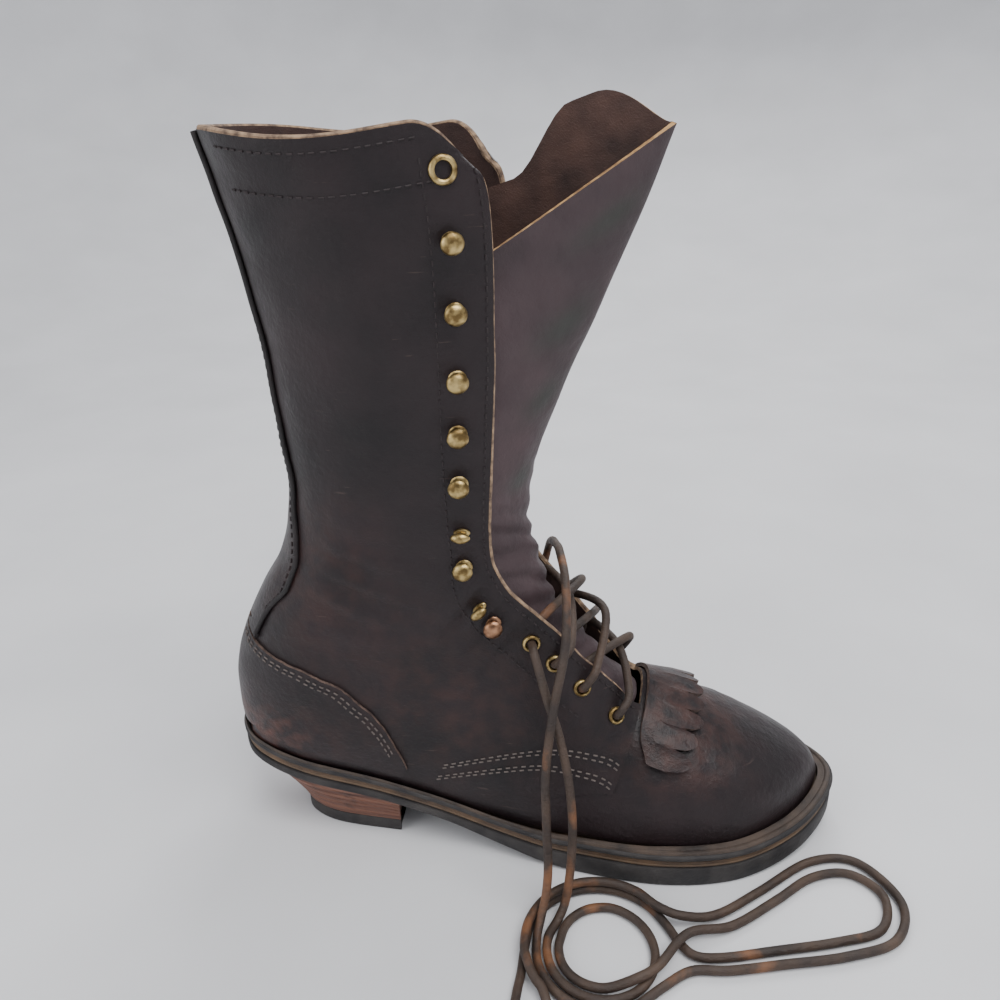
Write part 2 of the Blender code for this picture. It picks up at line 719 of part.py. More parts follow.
# Heel seen from above, at the seat and on the floor: back, side and breast, outer side first
HEEL_TOP = [(7.0, 0.0), (9.5, -14.0), (20.0, -25.0), (43.0, -32.5), (88.0, -34.0), (84.0, 0.0),
            (88.0, 31.0), (43.0, 32.5), (20.0, 25.0), (9.5, 14.0)]
HEEL_FLOOR = [(31.0, 0.0), (33.0, -10.0), (39.0, -19.0), (55.0, -26.0), (87.0, -29.5), (83.0, 0.0),
              (87.0, 27.0), (55.0, 26.0), (39.0, 19.0), (33.0, 10.0)]
HEEL_CORNERS = (4, 6)


def heel_outline(points, per_span):
    """The heel's outline: a smooth curve round the back and a hollow breast between two corners."""
    points = np.asarray(points, float)
    back = np.vstack([points[HEEL_CORNERS[1]:], points[: HEEL_CORNERS[0] + 1]])
    breast = points[HEEL_CORNERS[0]: HEEL_CORNERS[1] + 1]
    run = np.vstack([through(back, per_span)[:-1], through(breast, per_span)[:-1]])
    start = (len(points) - HEEL_CORNERS[1]) * per_span
    return np.roll(run, -start, axis=0)


def make_heel(parts):
    """The stacked leather heel, leaning in under its seat, and the rubber lift that it stands on."""
    per_span = 2
    seat = heel_outline(HEEL_TOP, per_span)
    floor = heel_outline(HEEL_FLOOR, per_span)
    halfway = (HEEL_CORNERS[0] + 1) * per_span
    top = underside(seat[:, 0]) - GAP
    levels = []
    for share in (0.0, 0.25, 0.5, 0.75, 1.0):
        height = TOP_LIFT + GAP + (top - TOP_LIFT - GAP) * share
        lean = share ** 1.25
        levels.append(with_height(floor + (seat - floor) * lean, height))
    stacked("heel_stack", levels, halfway, "stacked_leather", parts)
    lift = []
    for height, grow in ((0.0, 0.97), (0.8, 1.0), (TOP_LIFT, 1.0)):
        middle = np.array([58.0, 0.0])
        lift.append(with_height(middle + (floor - middle) * grow, np.full(len(floor), height)))
    stacked("top_lift", lift, halfway, "sole_rubber", parts)


def make_upper(parts, cutters):
    """The hollow upper, with a round hole for each eyelet."""
    upper = mesh_object("upper", *upper_wall(), "oiled_leather", parts)
    for side, word in ((-1, "lateral"), (1, "medial")):
        for n, height in enumerate(EYELET_HEIGHTS + [TOP_EYELET_HEIGHT]):
            setback = SHAFT_SETBACK if n == len(EYELET_HEIGHTS) else SETBACK
            place = on_facing(height, side, setback, 0.0)
            hole = turned(
                f"hole_{word}_{n + 1}",
                [(0.0, -6.0), (EYELET_HOLE + 0.9, -6.0), (EYELET_HOLE + 0.9, 4.0), (0.0, 4.0)],
                8, place, "antique_brass", cutters,
            )
            hide_cutter(hole)
            boolean(upper, hole, "DIFFERENCE")


# Counter: its upper edge in side view, and the share of a section at which its foot stops above the welt
COUNTER_TOP = [
    # x, z
    (10.0, 110.0),
    (18.0, 102.0),
    (40.0, 85.0),
    (62.0, 70.0),
    (80.0, 58.0),
    (93.0, 46.0),
    (100.0, 34.0),
]
COUNTER_FOOT = 0.92
COUNTER_SEAM_ROW = 18.85
# Backstay in back view: half width by height on the back seam
BACKSTAY_WIDTH = [
    # z, half_width
    (112.0, 13.0),
    (122.0, 15.0),
    (136.0, 17.0),
    (150.0, 13.5),
    (175.0, 11.0),
    (250.0, 10.0),
    (332.0, 11.5),
]
OVERLAY = 1.2
OVERLAY_GAP = 1.2
backstay_half = curve_through(column(BACKSTAY_WIDTH, 0), column(BACKSTAY_WIDTH, 1))


def counter_start(row, side):
    """Share of a section at which the counter's upper edge crosses it."""
    shares = np.linspace(0.3, 1.0, 300)
    spots = section(row, side, shares)
    above = np.nonzero(spots[:, 2] > np.interp(spots[:, 0], column(COUNTER_TOP, 0), column(COUNTER_TOP, 1)))[0]
    return min(shares[above[-1]], overlay_stop(row) - 0.02)


def backstay_start(row, side):
    """Share of a section at which the backstay's edge lies."""
    shares = np.linspace(0.6, 1.0, 300)
    spots = section(row, side, shares)
    half = float(backstay_half(spots[-1, 2]))
    return float(np.interp(half, np.abs(spots[::-1, 1]), shares[::-1]))


def overlay_stop(row):
    """Share at which an overlay ends: above the welt round the heel, and at the back seam higher up."""
    return float(np.interp(row, (len(FOOT_ROWS), COUNTER_SEAM_ROW), (COUNTER_FOOT, 1.0)))


def overlay_net(rows, start, columns):
    """A net on the upper's surface from a start share to the back seam or the foot, on both sides."""
    points = []
    index = {}
    faces = []
    for side in (-1, 1):
        for i, row in enumerate(rows):
            for j, point in enumerate(evenly(row, side, start(row, side), overlay_stop(row), columns)):
                key = (i, j, 0 if j == columns and row >= COUNTER_SEAM_ROW else side)
                if key not in index:
                    index[key] = len(points)
                    points.append(point)
        for i in range(len(rows) - 1):
            for j in range(columns):
                corners = ((i, j), (i + 1, j), (i + 1, j + 1), (i, j + 1))
                face = tuple(index.get((*corner, 0), index.get((*corner, side))) for corner in corners)
                faces.append(face if side < 0 else face[::-1])
    return np.array(points), faces


def make_overlays(parts):
    """Counter and backstay: shells laid on the upper's own surface."""
    first = len(FOOT_ROWS)
    seam_z = SECTION_CURVES[1][4]
    shaft = np.linspace(first, first + len(SHAFT_ROWS) - 1.0, 400)
    counter_end = float(np.interp(107.0, seam_z(shaft), shaft))
    backstay_row = float(np.interp(112.5, seam_z(shaft), shaft))
    heel_rows = list(np.linspace(11.8, first - 1.0, 9)) + [17.5, 18.0, 18.4, 18.65, 18.78]
    heel_rows += list(np.linspace(COUNTER_SEAM_ROW, counter_end, 6))
    back_rows = list(np.linspace(backstay_row, shaft[-1], 12))
    for name, rows, start, columns in (
        ("counter", heel_rows, counter_start, 6),
        ("backstay", back_rows, backstay_start, 3),
    ):
        points, faces = overlay_net(rows, start, columns)
        normals = point_normals(points, faces)
        rows_of = dict.fromkeys(range(len(points)), LAP_END)
        shell_points, shell = wall_between(
            points, normals, faces, [True] * len(faces), rows_of, OVERLAY_GAP + OVERLAY, LAP + OVERLAY_GAP,
        )
        mesh_object(name, shell_points, shell, "oiled_leather", parts)


def make_tongue(parts):
    """The tongue: a sheet bent to a channel, standing forward out of the shaft."""
    rows = np.linspace(0.0, len(TONGUE_ROWS) - 1.0, 15)
    curves = [curve_through(np.arange(len(TONGUE_ROWS)), column(TONGUE_ROWS, n)) for n in range(7)]
    across = np.linspace(-1.0, 1.0, 9)
    grid = []
    for row in rows:
        middle_x, middle_z, edge_x, half_width, outer_z, inner_z, full = (float(value(row)) for value in curves)
        blend = np.abs(across) ** full
        edge_z = np.where(across < 0.0, outer_z, inner_z)
        grid.append(np.stack([
            middle_x + (edge_x - middle_x) * blend,
            half_width * across,
            middle_z + (edge_z - middle_z) * blend,
        ], axis=1))
    points = np.vstack(grid)
    wide = len(across)
    faces = []
    for i in range(len(rows) - 1):
        for j in range(wide - 1):
            k = i * wide + j
            faces.append((k, k + 1, k + wide + 1, k + wide))
    sheet = mesh_object("tongue", points, faces, "tongue_leather", parts)
    thick = sheet.modifiers.new("thickness", "SOLIDIFY")
    thick.thickness = TONGUE_THICK * MM
    thick.offset = 0.0
    thick.use_even_offset = True


# Kiltie: how far it reaches to each side along the sections of the foot, from under the lace to its teeth
KILTIE_ROWS = [
    # row, half_width
    (7.85, 16.0),
    (7.75, 27.0),
    (7.5, 36.0),
    (7.1, 41.0),
    (6.6, 44.0),
    (5.85, 45.0),
]
KILTIE_TEETH = 9
KILTIE_TOOTH = 0.55
KILTIE_THICK = 2.0


def kiltie_point(row, across, lift):
    """A point of the kiltie: along a section of the vamp, by signed length from the ridge, off the leather by a lift."""
    side = -1 if across < 0 else 1
    shares = np.linspace(0.0, 0.75, 200)
    spots = []
    for at_row in (row - 0.15, row, row + 0.15):
        points = section(at_row, side, shares)
        length = np.concatenate([[0.0], np.cumsum(np.linalg.norm(np.diff(points, axis=0), axis=1))])
        for out in (abs(across), abs(across) + 2.0):
            spots.append(np.array([np.interp(out, length, points[:, n]) for n in range(3)]))
    along = spots[4] - spots[0]
    outward = spots[3] - spots[2]
    normal = np.cross(outward, along) if side > 0 else np.cross(along, outward)
    return spots[2] + normal / np.linalg.norm(normal) * lift


def make_kiltie(parts):
    """The fringed false tongue, lying on the vamp under the facings, with its teeth fused to it."""
    across_count = KILTIE_TEETH * 2 + 1
    across = np.linspace(-1.0, 1.0, across_count)
    shares = np.linspace(0.0, 1.0, 6)
    steps = np.linspace(0.0, 1.0, len(KILTIE_ROWS))
    rows_at = curve_through(steps, column(KILTIE_ROWS, 0))
    half_at = curve_through(steps, column(KILTIE_ROWS, 1))
    tops = []
    unders = []
    for share in shares:
        for n, a in enumerate(across):
            notch = n % 2 == 0
            row = float(rows_at(share)) + 0.45 * a * a * share
            if share == 1.0 and notch:
                row += KILTIE_TOOTH
            spread = float(half_at(share)) * a
            lift = 0.9 + 0.8 * share ** 2
            unders.append(kiltie_point(row, spread, lift))
            tops.append(kiltie_point(row, spread, lift + KILTIE_THICK))
    count = len(tops)
    points = tops + unders
    faces = []
    for i in range(len(shares) - 1):
        for j in range(across_count - 1):
            k = i * across_count + j
            face = (k, k + 1, k + across_count + 1, k + across_count)
            faces.append(face)
            faces.append(tuple(count + n for n in reversed(face)))
    rim = [j for j in range(across_count)]
    rim += [i * across_count + across_count - 1 for i in range(1, len(shares))]
    rim += [(len(shares) - 1) * across_count + j for j in range(across_count - 2, -1, -1)]
    rim += [i * across_count for i in range(len(shares) - 2, 0, -1)]
    for n, k in enumerate(rim):
        after = rim[(n + 1) % len(rim)]
        faces.append((k, after, count + after, count + k))
    mesh_object("kiltie", points, faces, "oiled_leather", parts)


def make_hardware(parts):
    """Brass eyelets through the facings and speed hooks riveted on them."""
    for side, word in ((-1, "lateral"), (1, "medial")):
        for n, height in enumerate(EYELET_HEIGHTS + [TOP_EYELET_HEIGHT]):
            outer = TOP_EYELET_OUT if n == len(EYELET_HEIGHTS) else EYELET_OUT
            profile = [(EYELET_HOLE, -2.0), (EYELET_HOLE + 0.5, -2.0), (EYELET_HOLE + 0.5, SEAT_GAP),
                       (outer, SEAT_GAP), (outer - 0.8, 1.8), (EYELET_HOLE, 1.8)]
            setback = SHAFT_SETBACK if n == len(EYELET_HEIGHTS) else SETBACK
            place = on_facing(height, side, setback, 0.0)
            turned(f"eyelet_{word}_{n + 1}", profile, 8, place, "antique_brass", parts)
        for n, height in enumerate(HOOK_HEIGHTS):
            profile = [(0.0, SEAT_GAP), (3.4, SEAT_GAP), (3.4, 1.7), (1.7, 1.7), (1.7, 4.4), (HOOK_HEAD, 4.8),
                       (HOOK_HEAD * 0.8, 6.6), (0.0, 7.6)]
            place = on_facing(height, side, SHAFT_SETBACK, 0.0)
            turned(f"hook_{word}_{n + 1}", profile, 6, place, "antique_brass", parts)


def over_facing(n, side, setback, lift):
    """A point of the lace's route: off the facing at an eyelet's height, or in front of its edge."""
    place = on_facing(EYELET_HEIGHTS[n], side, max(setback, 1.0), lift)
    forward = place.to_3x3() @ Vector((0.0, side, 0.0))
    spot = place.translation / MM + forward * max(1.0 - setback, 0.0)
    return np.array(spot) + np.array([ORIGIN_X, 0.0, 0.0])


def make_lace(parts):
    """The two laced runs, one over the other, the two free ends, the coil that they lie in and the loop beside it."""
    lift = 2.8 + LACE / 2.0
    last = len(EYELET_HEIGHTS) - 1
    for start, word, rise in ((-1, "lateral", LACE_RISE), (1, "medial", LACE_RISE + LACE + 4.0)):
        route = []
        for n in range(last + 1):
            side = start if n % 2 == 0 else -start
            spot = over_facing(n, side, -LACE_FORWARD, lift)
            if n == 0:
                route.append(over_facing(n, side, SETBACK, lift))
            route.append(spot)
            if n < last:
                other = over_facing(n + 1, -side, -LACE_FORWARD, lift)
                route.append((spot + other) / 2.0 + rise * np.array([0.7, 0.0, 0.7]))
        route.append(over_facing(last, side, SETBACK, lift))
        tube(f"lace_run_{word}", route, LACE, 2, 1, "rawhide_lace", parts)
    for name, route in LACE_ROUTES.items():
        tube(name, route, LACE, 2, 1, "rawhide_lace", parts)
    edge = 3.0
    profile = [(COIL_INNER, edge), (COIL_INNER + edge, 0.4), (COIL_OUTER - edge, 0.4), (COIL_OUTER, edge),
               (COIL_OUTER, COIL_HEIGHT - edge), (COIL_OUTER - edge, COIL_HEIGHT), (COIL_INNER + edge, COIL_HEIGHT),
               (COIL_INNER, COIL_HEIGHT - edge)]
    place = Matrix.Translation(Vector((COIL_X - ORIGIN_X, COIL_Y, 0.0)) * MM)
    turned("lace_coil", profile, 16, place, "rawhide_lace", parts)


def main():
    for obj in list(bpy.data.objects):
        bpy.data.objects.remove(obj)
    parts = bpy.data.collections.new("packer_boot")
    cutters = bpy.data.collections.new("cutters")
    for collection in (parts, cutters):
        bpy.context.scene.collection.children.link(collection)
    make_materials()
    make_sole(parts)
    make_heel(parts)
    make_upper(parts, cutters)
    make_overlays(parts)
    make_tongue(parts)
    make_kiltie(parts)
    make_hardware(parts)
    make_lace(parts)


if __name__ == "__main__":
    main()
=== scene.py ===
"""Looks of the tall laced packer boot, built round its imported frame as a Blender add-on.

Tables and lengths are in millimetres, in the part's own measure.
MM and ORIGIN_X turn them to the row frame.
"""
import functools
import math

import bmesh
import bpy
import numpy as np
from mathutils import Matrix, Vector, noise


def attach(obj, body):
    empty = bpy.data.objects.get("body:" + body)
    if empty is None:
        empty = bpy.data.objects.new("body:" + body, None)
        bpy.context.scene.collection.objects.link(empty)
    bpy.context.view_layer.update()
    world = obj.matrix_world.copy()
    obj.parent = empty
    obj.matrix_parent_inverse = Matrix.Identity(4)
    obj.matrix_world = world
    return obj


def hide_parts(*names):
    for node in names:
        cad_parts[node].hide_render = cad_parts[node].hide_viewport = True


bl_info = {
    "name": "Packer boot looks",
    "version": (1, 0, 0),
    "blender": (4, 5, 0),
    "location": "View3D > Sidebar > Boot",
    "description": "Dresses the packed boot: leather, stitching, hardware, laces, stage and camera",
    "category": "Object",
}

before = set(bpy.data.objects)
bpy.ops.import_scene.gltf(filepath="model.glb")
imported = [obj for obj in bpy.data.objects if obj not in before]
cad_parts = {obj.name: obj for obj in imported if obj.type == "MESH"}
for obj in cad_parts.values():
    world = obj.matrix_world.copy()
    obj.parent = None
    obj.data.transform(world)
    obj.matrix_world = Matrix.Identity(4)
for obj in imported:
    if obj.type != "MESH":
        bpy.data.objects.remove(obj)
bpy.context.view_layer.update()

MM = 0.001
ORIGIN_X = 153.7
BODY = "root"

# Camera: the photo's own, found from the boot's lines
CAMERA_PLACE = (178.1, -357.5, 331.5)
CAMERA_RIGHT = (0.9947, 0.1005, -0.0222)
CAMERA_DOWN = (0.0202, -0.4024, -0.9153)
CAMERA_LENS = 30.97
CAMERA_SENSOR = 36.0

# Sole outline seen from above: a closed smooth curve, from the back round the outer side to the toe and back
SOLE_OUTLINE = [
    # x, y
    (2.5, 0.0),
    (6.0, -15.0),
    (17.0, -27.0),
    (42.0, -34.5),
    (85.0, -35.5),
    (130.0, -40.0),
    (175.0, -49.0),
    (215.0, -54.0),
    (250.0, -49.0),
    (279.0, -33.5),
    (297.5, -14.0),
    (305.0, 5.0),
    (298.0, 24.0),
    (280.0, 39.0),
    (250.0, 50.0),
    (215.0, 51.0),
    (175.0, 42.0),
    (130.0, 31.0),
    (85.0, 32.5),
    (42.0, 34.5),
    (17.0, 27.0),
    (6.0, 15.0),
]
TOE_POINT = 11
TOE_Y = 5.0
SOLE_LENGTH = 305.0
SOLE_SIDE = [
    # x, underside, thickness
    (0.0, 42.0, 4.5),
    (40.0, 33.5, 4.5),
    (88.0, 22.5, 4.5),
    (112.0, 16.0, 5.0),
    (140.0, 6.5, 7.0),
    (165.0, 0.9, 9.5),
    (180.0, 0.0, 10.5),
    (248.0, 0.0, 10.5),
    (270.0, 1.2, 10.5),
    (290.0, 4.2, 10.0),
    (305.0, 7.5, 9.5),
]
WELT_WIDTH = [
    # x, width, overhung
    (0.0, 5.0, 3.6),
    (60.0, 5.4, 4.3),
    (100.0, 6.0, 5.0),
    (135.0, 6.6, 5.0),
    (170.0, 7.6, 4.2),
    (205.0, 8.0, 3.0),
    (225.0, 8.2, 2.0),
    (305.0, 8.4, 1.4),
]
GAP = 0.3
FOOT_GAP = 1.2
MIDSOLE = 4.0
WELT_HEIGHT = 4.6
TOP_LIFT = 7.0

# Sections of the upper, as in the part
FOOT_ROWS = [
    # front_x, front_z, ridge_y, half_gap, rear_x, bulge_out, bulge_in, widest, front_full, rear_full
    (296.3, 29.0, 5.0, 0.0, 295.6, 0.3, 0.3, 0.70, 2.3, 2.3),
    (293.5, 34.5, 5.0, 0.0, 294.0, 0.5, 0.5, 0.72, 2.3, 2.3),
    (287.5, 39.5, 5.0, 0.0, 288.0, 0.8, 0.8, 0.74, 2.25, 2.3),
    (279.0, 44.5, 4.5, 0.0, 279.0, 1.0, 1.0, 0.76, 2.2, 2.3),
    (266.0, 51.5, 4.0, 0.0, 264.0, 1.2, 1.2, 0.78, 2.1, 2.3),
    (250.0, 60.0, 3.0, 0.0, 246.0, 1.4, 1.4, 0.80, 2.0, 2.3),
    (233.0, 68.5, 2.0, 0.0, 225.0, 1.6, 1.6, 0.82, 1.9, 2.3),
    (218.0, 75.5, 1.0, 0.0, 203.0, 2.0, 2.0, 0.82, 1.85, 2.3),
    (207.0, 81.0, 0.0, 0.0, 182.0, 2.6, 2.8, 0.80, 1.8, 2.2),
    (193.5, 92.5, 0.0, 14.0, 159.0, 3.5, 4.0, 0.78, 1.6, 2.1),
    (180.0, 102.5, 0.0, 23.0, 136.0, 4.5, 5.5, 0.76, 1.4, 2.0),
    (168.0, 117.0, 0.0, 25.0, 112.0, 5.0, 6.5, 0.74, 1.35, 2.0),
    (155.5, 131.0, 0.0, 28.0, 89.0, 5.0, 6.5, 0.70, 1.35, 2.0),
    (145.0, 143.0, 0.0, 31.0, 63.0, 5.5, 5.5, 0.66, 1.35, 2.0),
    (140.0, 152.0, 0.0, 32.0, 42.0, 6.5, 6.5, 0.64, 1.35, 1.9),
    (137.6, 160.0, 0.0, 33.0, 26.0, 10.0, 10.0, 0.62, 1.35, 1.85),
    (137.0, 168.0, 0.0, 33.0, 15.5, 15.8, 15.8, 0.60, 1.35, 1.85),
    (137.0, 175.0, 0.0, 33.5, 9.6, 25.5, 25.5, 0.58, 1.35, 2.05),
]
SHAFT_ROWS = [
    # front_x, front_z, half_gap, rear_x, rear_z, half_width, widest, front_full, rear_full
    (137.2, 179.0, 33.5, 7.4, 50.9, 36.5, 0.58, 1.35, 2.3),
    (137.4, 183.0, 33.5, 6.0, 64.0, 36.5, 0.58, 1.35, 2.3),
    (137.6, 188.0, 33.5, 6.5, 80.0, 36.5, 0.57, 1.35, 2.3),
    (138.0, 193.0, 33.5, 9.0, 94.0, 36.8, 0.56, 1.35, 2.2),
    (138.3, 199.0, 33.5, 15.0, 110.0, 37.2, 0.54, 1.35, 2.15),
    (138.6, 205.0, 33.5, 26.0, 131.0, 38.0, 0.52, 1.35, 2.1),
    (139.0, 212.0, 34.0, 36.5, 148.0, 39.0, 0.50, 1.35, 2.1),
    (139.5, 221.0, 34.0, 43.0, 168.0, 40.5, 0.50, 1.35, 2.1),
    (140.2, 234.0, 34.0, 46.0, 190.0, 42.5, 0.50, 1.35, 2.1),
    (141.0, 254.0, 34.0, 44.5, 220.0, 45.5, 0.50, 1.35, 2.1),
    (141.3, 277.0, 34.0, 42.0, 254.0, 48.5, 0.50, 1.35, 2.1),
    (140.6, 300.0, 34.5, 38.2, 285.0, 51.0, 0.50, 1.35, 2.1),
    (138.0, 320.0, 35.0, 33.0, 308.0, 53.0, 0.50, 1.35, 2.1),
    (131.5, 333.0, 38.0, 28.2, 332.0, 54.5, 0.50, 1.35, 2.1),
]
FIRST_SHAFT = len(FOOT_ROWS)
LAST_ROW = len(FOOT_ROWS) + len(SHAFT_ROWS) - 1
LAP_ROW = 8
LAP_END = 11
WALL = 1.8
LAP = 1.2
THROAT_START = 17.0
THROAT_NEXT = 20.0
LAP_EDGE = [
    # row, share
    (0, 0.58),
    (8, 0.58),
    (9, 0.69),
    (10, 0.79),
    (11, 0.88),
    (12, 0.93),
    (14, 0.88),
    (17, 0.76),
    (19, 0.72),
    (31, 0.72),
]

# Tongue: the rows below the ankle stand further forward than the part's
TONGUE_ROWS = [
    # middle_x, middle_z, edge_x, half_width, outer_z, inner_z, fullness
    (203.0, 74.5, 199.0, 13.5, 71.0, 71.0, 2.0),
    (189.0, 87.0, 182.0, 17.0, 81.0, 81.0, 2.0),
    (177.0, 103.0, 166.0, 20.5, 95.0, 95.0, 2.0),
    (164.5, 120.5, 149.0, 23.0, 112.0, 112.0, 2.0),
    (155.5, 142.0, 137.0, 25.5, 135.0, 135.0, 2.0),
    (150.0, 166.0, 131.0, 28.0, 160.0, 161.0, 1.9),
    (152.0, 188.0, 129.5, 29.0, 180.0, 184.0, 1.8),
    (165.0, 226.0, 130.0, 29.0, 209.0, 219.0, 1.6),
    (182.0, 264.0, 131.0, 29.0, 238.0, 254.0, 1.45),
    (197.0, 302.0, 132.0, 29.0, 264.0, 285.0, 1.35),
    (208.0, 330.0, 134.0, 29.0, 283.0, 306.0, 1.3),
]
TONGUE_THICK = 2.0
TONGUE_WING = 21.0

# Hardware of one side: height along the facing, as the front height of the section that each stands on
HOOK_HEIGHTS = [140.5, 148.0, 167.5, 184.0, 205.0, 226.0, 247.0, 271.0, 295.0]
BENT_HOOKS = (2, 4)
COPPER_HOOK = 1
EYELET_HEIGHTS = [88.5, 101.0, 114.5, 126.0]
TOP_EYELET_HEIGHT = 319.0
SETBACK = 11.0
SHAFT_SETBACK = 15.5

# Counter and backstay, traced again from the photo: higher and wider than the part's
COUNTER_TOP = [
    # x, z
    (8.0, 119.0),
    (16.5, 114.5),
    (27.0, 109.6),
    (49.8, 101.5),
    (66.0, 92.0),
    (79.5, 78.5),
    (86.0, 68.0),
    (93.0, 50.0),
    (97.5, 34.0),
]
COUNTER_FIRST_ROW = 12.15
COUNTER_LEAST = 0.02
COUNTER_FOOT = 0.92
COUNTER_SEAM_ROW = 18.85
COUNTER_SEAM_TOP = 113.0
BACKSTAY_FOOT = 102.0
BACKSTAY_SEAM = 115.5
BACKSTAY_LEAST = 0.01
BACKSTAY_CLEAR = 0.012
BACKSTAY_WIDTH = [
    # z of the back seam, half_width
    (100.0, 25.0),
    (112.0, 27.0),
    (118.0, 28.5),
    (126.0, 31.5),
    (137.0, 31.0),
    (150.0, 28.5),
    (165.0, 26.0),
    (180.0, 24.5),
    (227.0, 24.5),
    (287.0, 25.5),
    (332.0, 25.0),
]

# Kiltie, as in the part
KILTIE_ROWS = [
    # row, half_width
    (7.85, 16.0),
    (7.75, 27.0),
    (7.5, 36.0),
    (7.1, 41.0),
    (6.6, 44.0),
    (5.85, 45.0),
]
KILTIE_TEETH = 9
KILTIE_TOOTH = 0.55
KILTIE_THICK = 2.0

# Heel seen from above: its outline under the sole and on the lift below, as in the part
HEEL_TOP = [(7.0, 0.0), (9.5, -14.0), (20.0, -25.0), (43.0, -32.5), (88.0, -34.0), (84.0, 0.0),
            (88.0, 31.0), (43.0, 32.5), (20.0, 25.0), (9.5, 14.0)]
HEEL_FLOOR = [(31.0, 0.0), (33.0, -10.0), (39.0, -19.0), (55.0, -26.0), (87.0, -29.5), (83.0, 0.0),
              (87.0, 27.0), (55.0, 26.0), (39.0, 19.0), (33.0, 10.0)]
HEEL_CORNERS = (4, 6)

# Lace: the coil and the routes of its free runs, near those of the part. Pairs of x and y lie on the floor
FLOOR_LACE = 2.4
SECOND_LACE = 6.8
COIL_X = 188.0
COIL_Y = -93.0
END_LATERAL = [
    (155.2, -33.6, 117.4), (156.2, -38.5, 116.5), (159.0, -44.0, 110.0), (163.0, -50.0, 99.0),
    (168.0, -55.5, 86.0), (172.5, -61.0, 66.0), (174.5, -64.5, 45.0), (174.2, -67.5, 28.0),
    (173.2, -70.5, 16.0), (171.6, -74.5, 7.6),
]
END_MEDIAL = [
    (155.2, 34.2, 117.4), (156.5, 39.4, 120.6), (158.0, 41.6, 126.8), (159.5, 38.6, 133.4),
    (161.3, 30.5, 138.6), (163.5, 14.0, 144.8), (166.0, -6.0, 151.0), (169.5, -28.0, 146.0),
    (170.0, -46.0, 126.0), (165.5, -56.0, 100.0), (162.5, -62.0, 72.0), (163.0, -66.5, 46.0),
    (164.0, -71.5, 27.0), (163.3, -76.5, 15.0), (161.4, -82.0, 7.2),
]
OVER_COIL = [(202.5, -108.0, 6.5), (212.0, -101.5, 7.0), (225.6, -84.5, 6.6), (246.0, -76.0, 3.0)]
LOOP_OUTER = [
    (268.0, -60.0), (287.0, -45.5), (305.0, -42.0), (317.0, -54.0), (311.0, -72.0),
    (291.0, -80.0), (262.0, -87.0), (240.0, -92.0), (228.0, -92.0), (221.5, -85.5),
]
LOOP_INNER = [
    (214.0, -107.5), (226.0, -99.5), (242.0, -98.0), (266.0, -93.0), (293.0, -87.0),
    (316.0, -77.0), (324.0, -56.0), (310.0, -34.5), (288.0, -36.0), (262.0, -55.0),
]
ONTO_COIL = [(240.0, -71.0, 3.6), (224.5, -75.5, 6.4)]
# Turns round the coil: first and last radius, angle in degrees and height
COIL_LATERAL = [
    (23.5, 23.0, 146.0, 440.0, 3.0, FLOOR_LACE),
    (22.0, 18.3, 462.0, 524.0, FLOOR_LACE, FLOOR_LACE),
    (18.3, 18.3, 542.0, 640.0, FLOOR_LACE, 3.6),
]
BACK_LATERAL = [(33.0, 33.0, 26.0, 182.0, FLOOR_LACE, FLOOR_LACE)]
COIL_MEDIAL = [(28.2, 28.2, 174.0, 296.0, 3.0, FLOOR_LACE)]
BACK_MEDIAL = [
    (33.2, 33.2, 40.0, 186.0, SECOND_LACE, SECOND_LACE),
    (33.0, 32.6, 198.0, 222.0, SECOND_LACE, 4.8),
]
TAIL_LATERAL = [(154.4, -106.0), (153.3, -115.0), (153.0, -124.0), (156.0, -136.0), (166.0, -145.0)]
TAIL_MEDIAL = [(167.6, -124.0), (170.0, -132.0), (178.0, -140.0), (192.0, -143.0)]


def curve_through(table_x, table_y):
    """A function of x: a smooth curve through a short table, with no overshoot between its rows."""
    table_x = np.asarray(table_x, float)
    table_y = np.asarray(table_y, float)
    run = np.diff(table_x)
    slope = np.diff(table_y) / run
    tangent = np.zeros(len(table_x))
    tangent[0] = slope[0]
    tangent[-1] = slope[-1]
    for k in range(1, len(table_x) - 1):
        if slope[k - 1] * slope[k] > 0.0:
            before = 2.0 * run[k] + run[k - 1]
            after = run[k] + 2.0 * run[k - 1]
            tangent[k] = (before + after) / (before / slope[k - 1] + after / slope[k])

    def value(x):
        x = np.clip(np.asarray(x, float), table_x[0], table_x[-1])
        k = np.clip(np.searchsorted(table_x, x, side="right") - 1, 0, len(run) - 1)
        t = (x - table_x[k]) / run[k]
        start = table_y[k] * (1.0 + 2.0 * t) * (1.0 - t) ** 2 + tangent[k] * run[k] * t * (1.0 - t) ** 2
        end = table_y[k + 1] * t * t * (3.0 - 2.0 * t) + tangent[k + 1] * run[k] * t * t * (t - 1.0)
        return start + end

    return value


def column(table, index):
    return [row[index] for row in table]


def through(points, per_span, closed=False):
    """Points along a smooth curve through given ones."""
    points = np.asarray(points, float)
    count = len(points)
    found = []
    for k in range(count if closed else count - 1):
        if closed:
            a, b, c, d = (points[(k + n) % count] for n in (-1, 0, 1, 2))
        else:
            a, b, c, d = (points[min(max(k + n, 0), count - 1)] for n in (-1, 0, 1, 2))
        for n in range(per_span):
            t = n / per_span
            found.append(
                0.5 * (2.0 * b + (c - a) * t + (2.0 * a - 5.0 * b + 4.0 * c - d) * t * t
                       + (3.0 * b - a - 3.0 * c + d) * t ** 3)
            )
    if not closed:
        found.append(points[-1])
    return np.array(found)


def unit(way):
    """One way or a list of them, brought to length one."""
    return way / np.linalg.norm(way, axis=-1, keepdims=True)


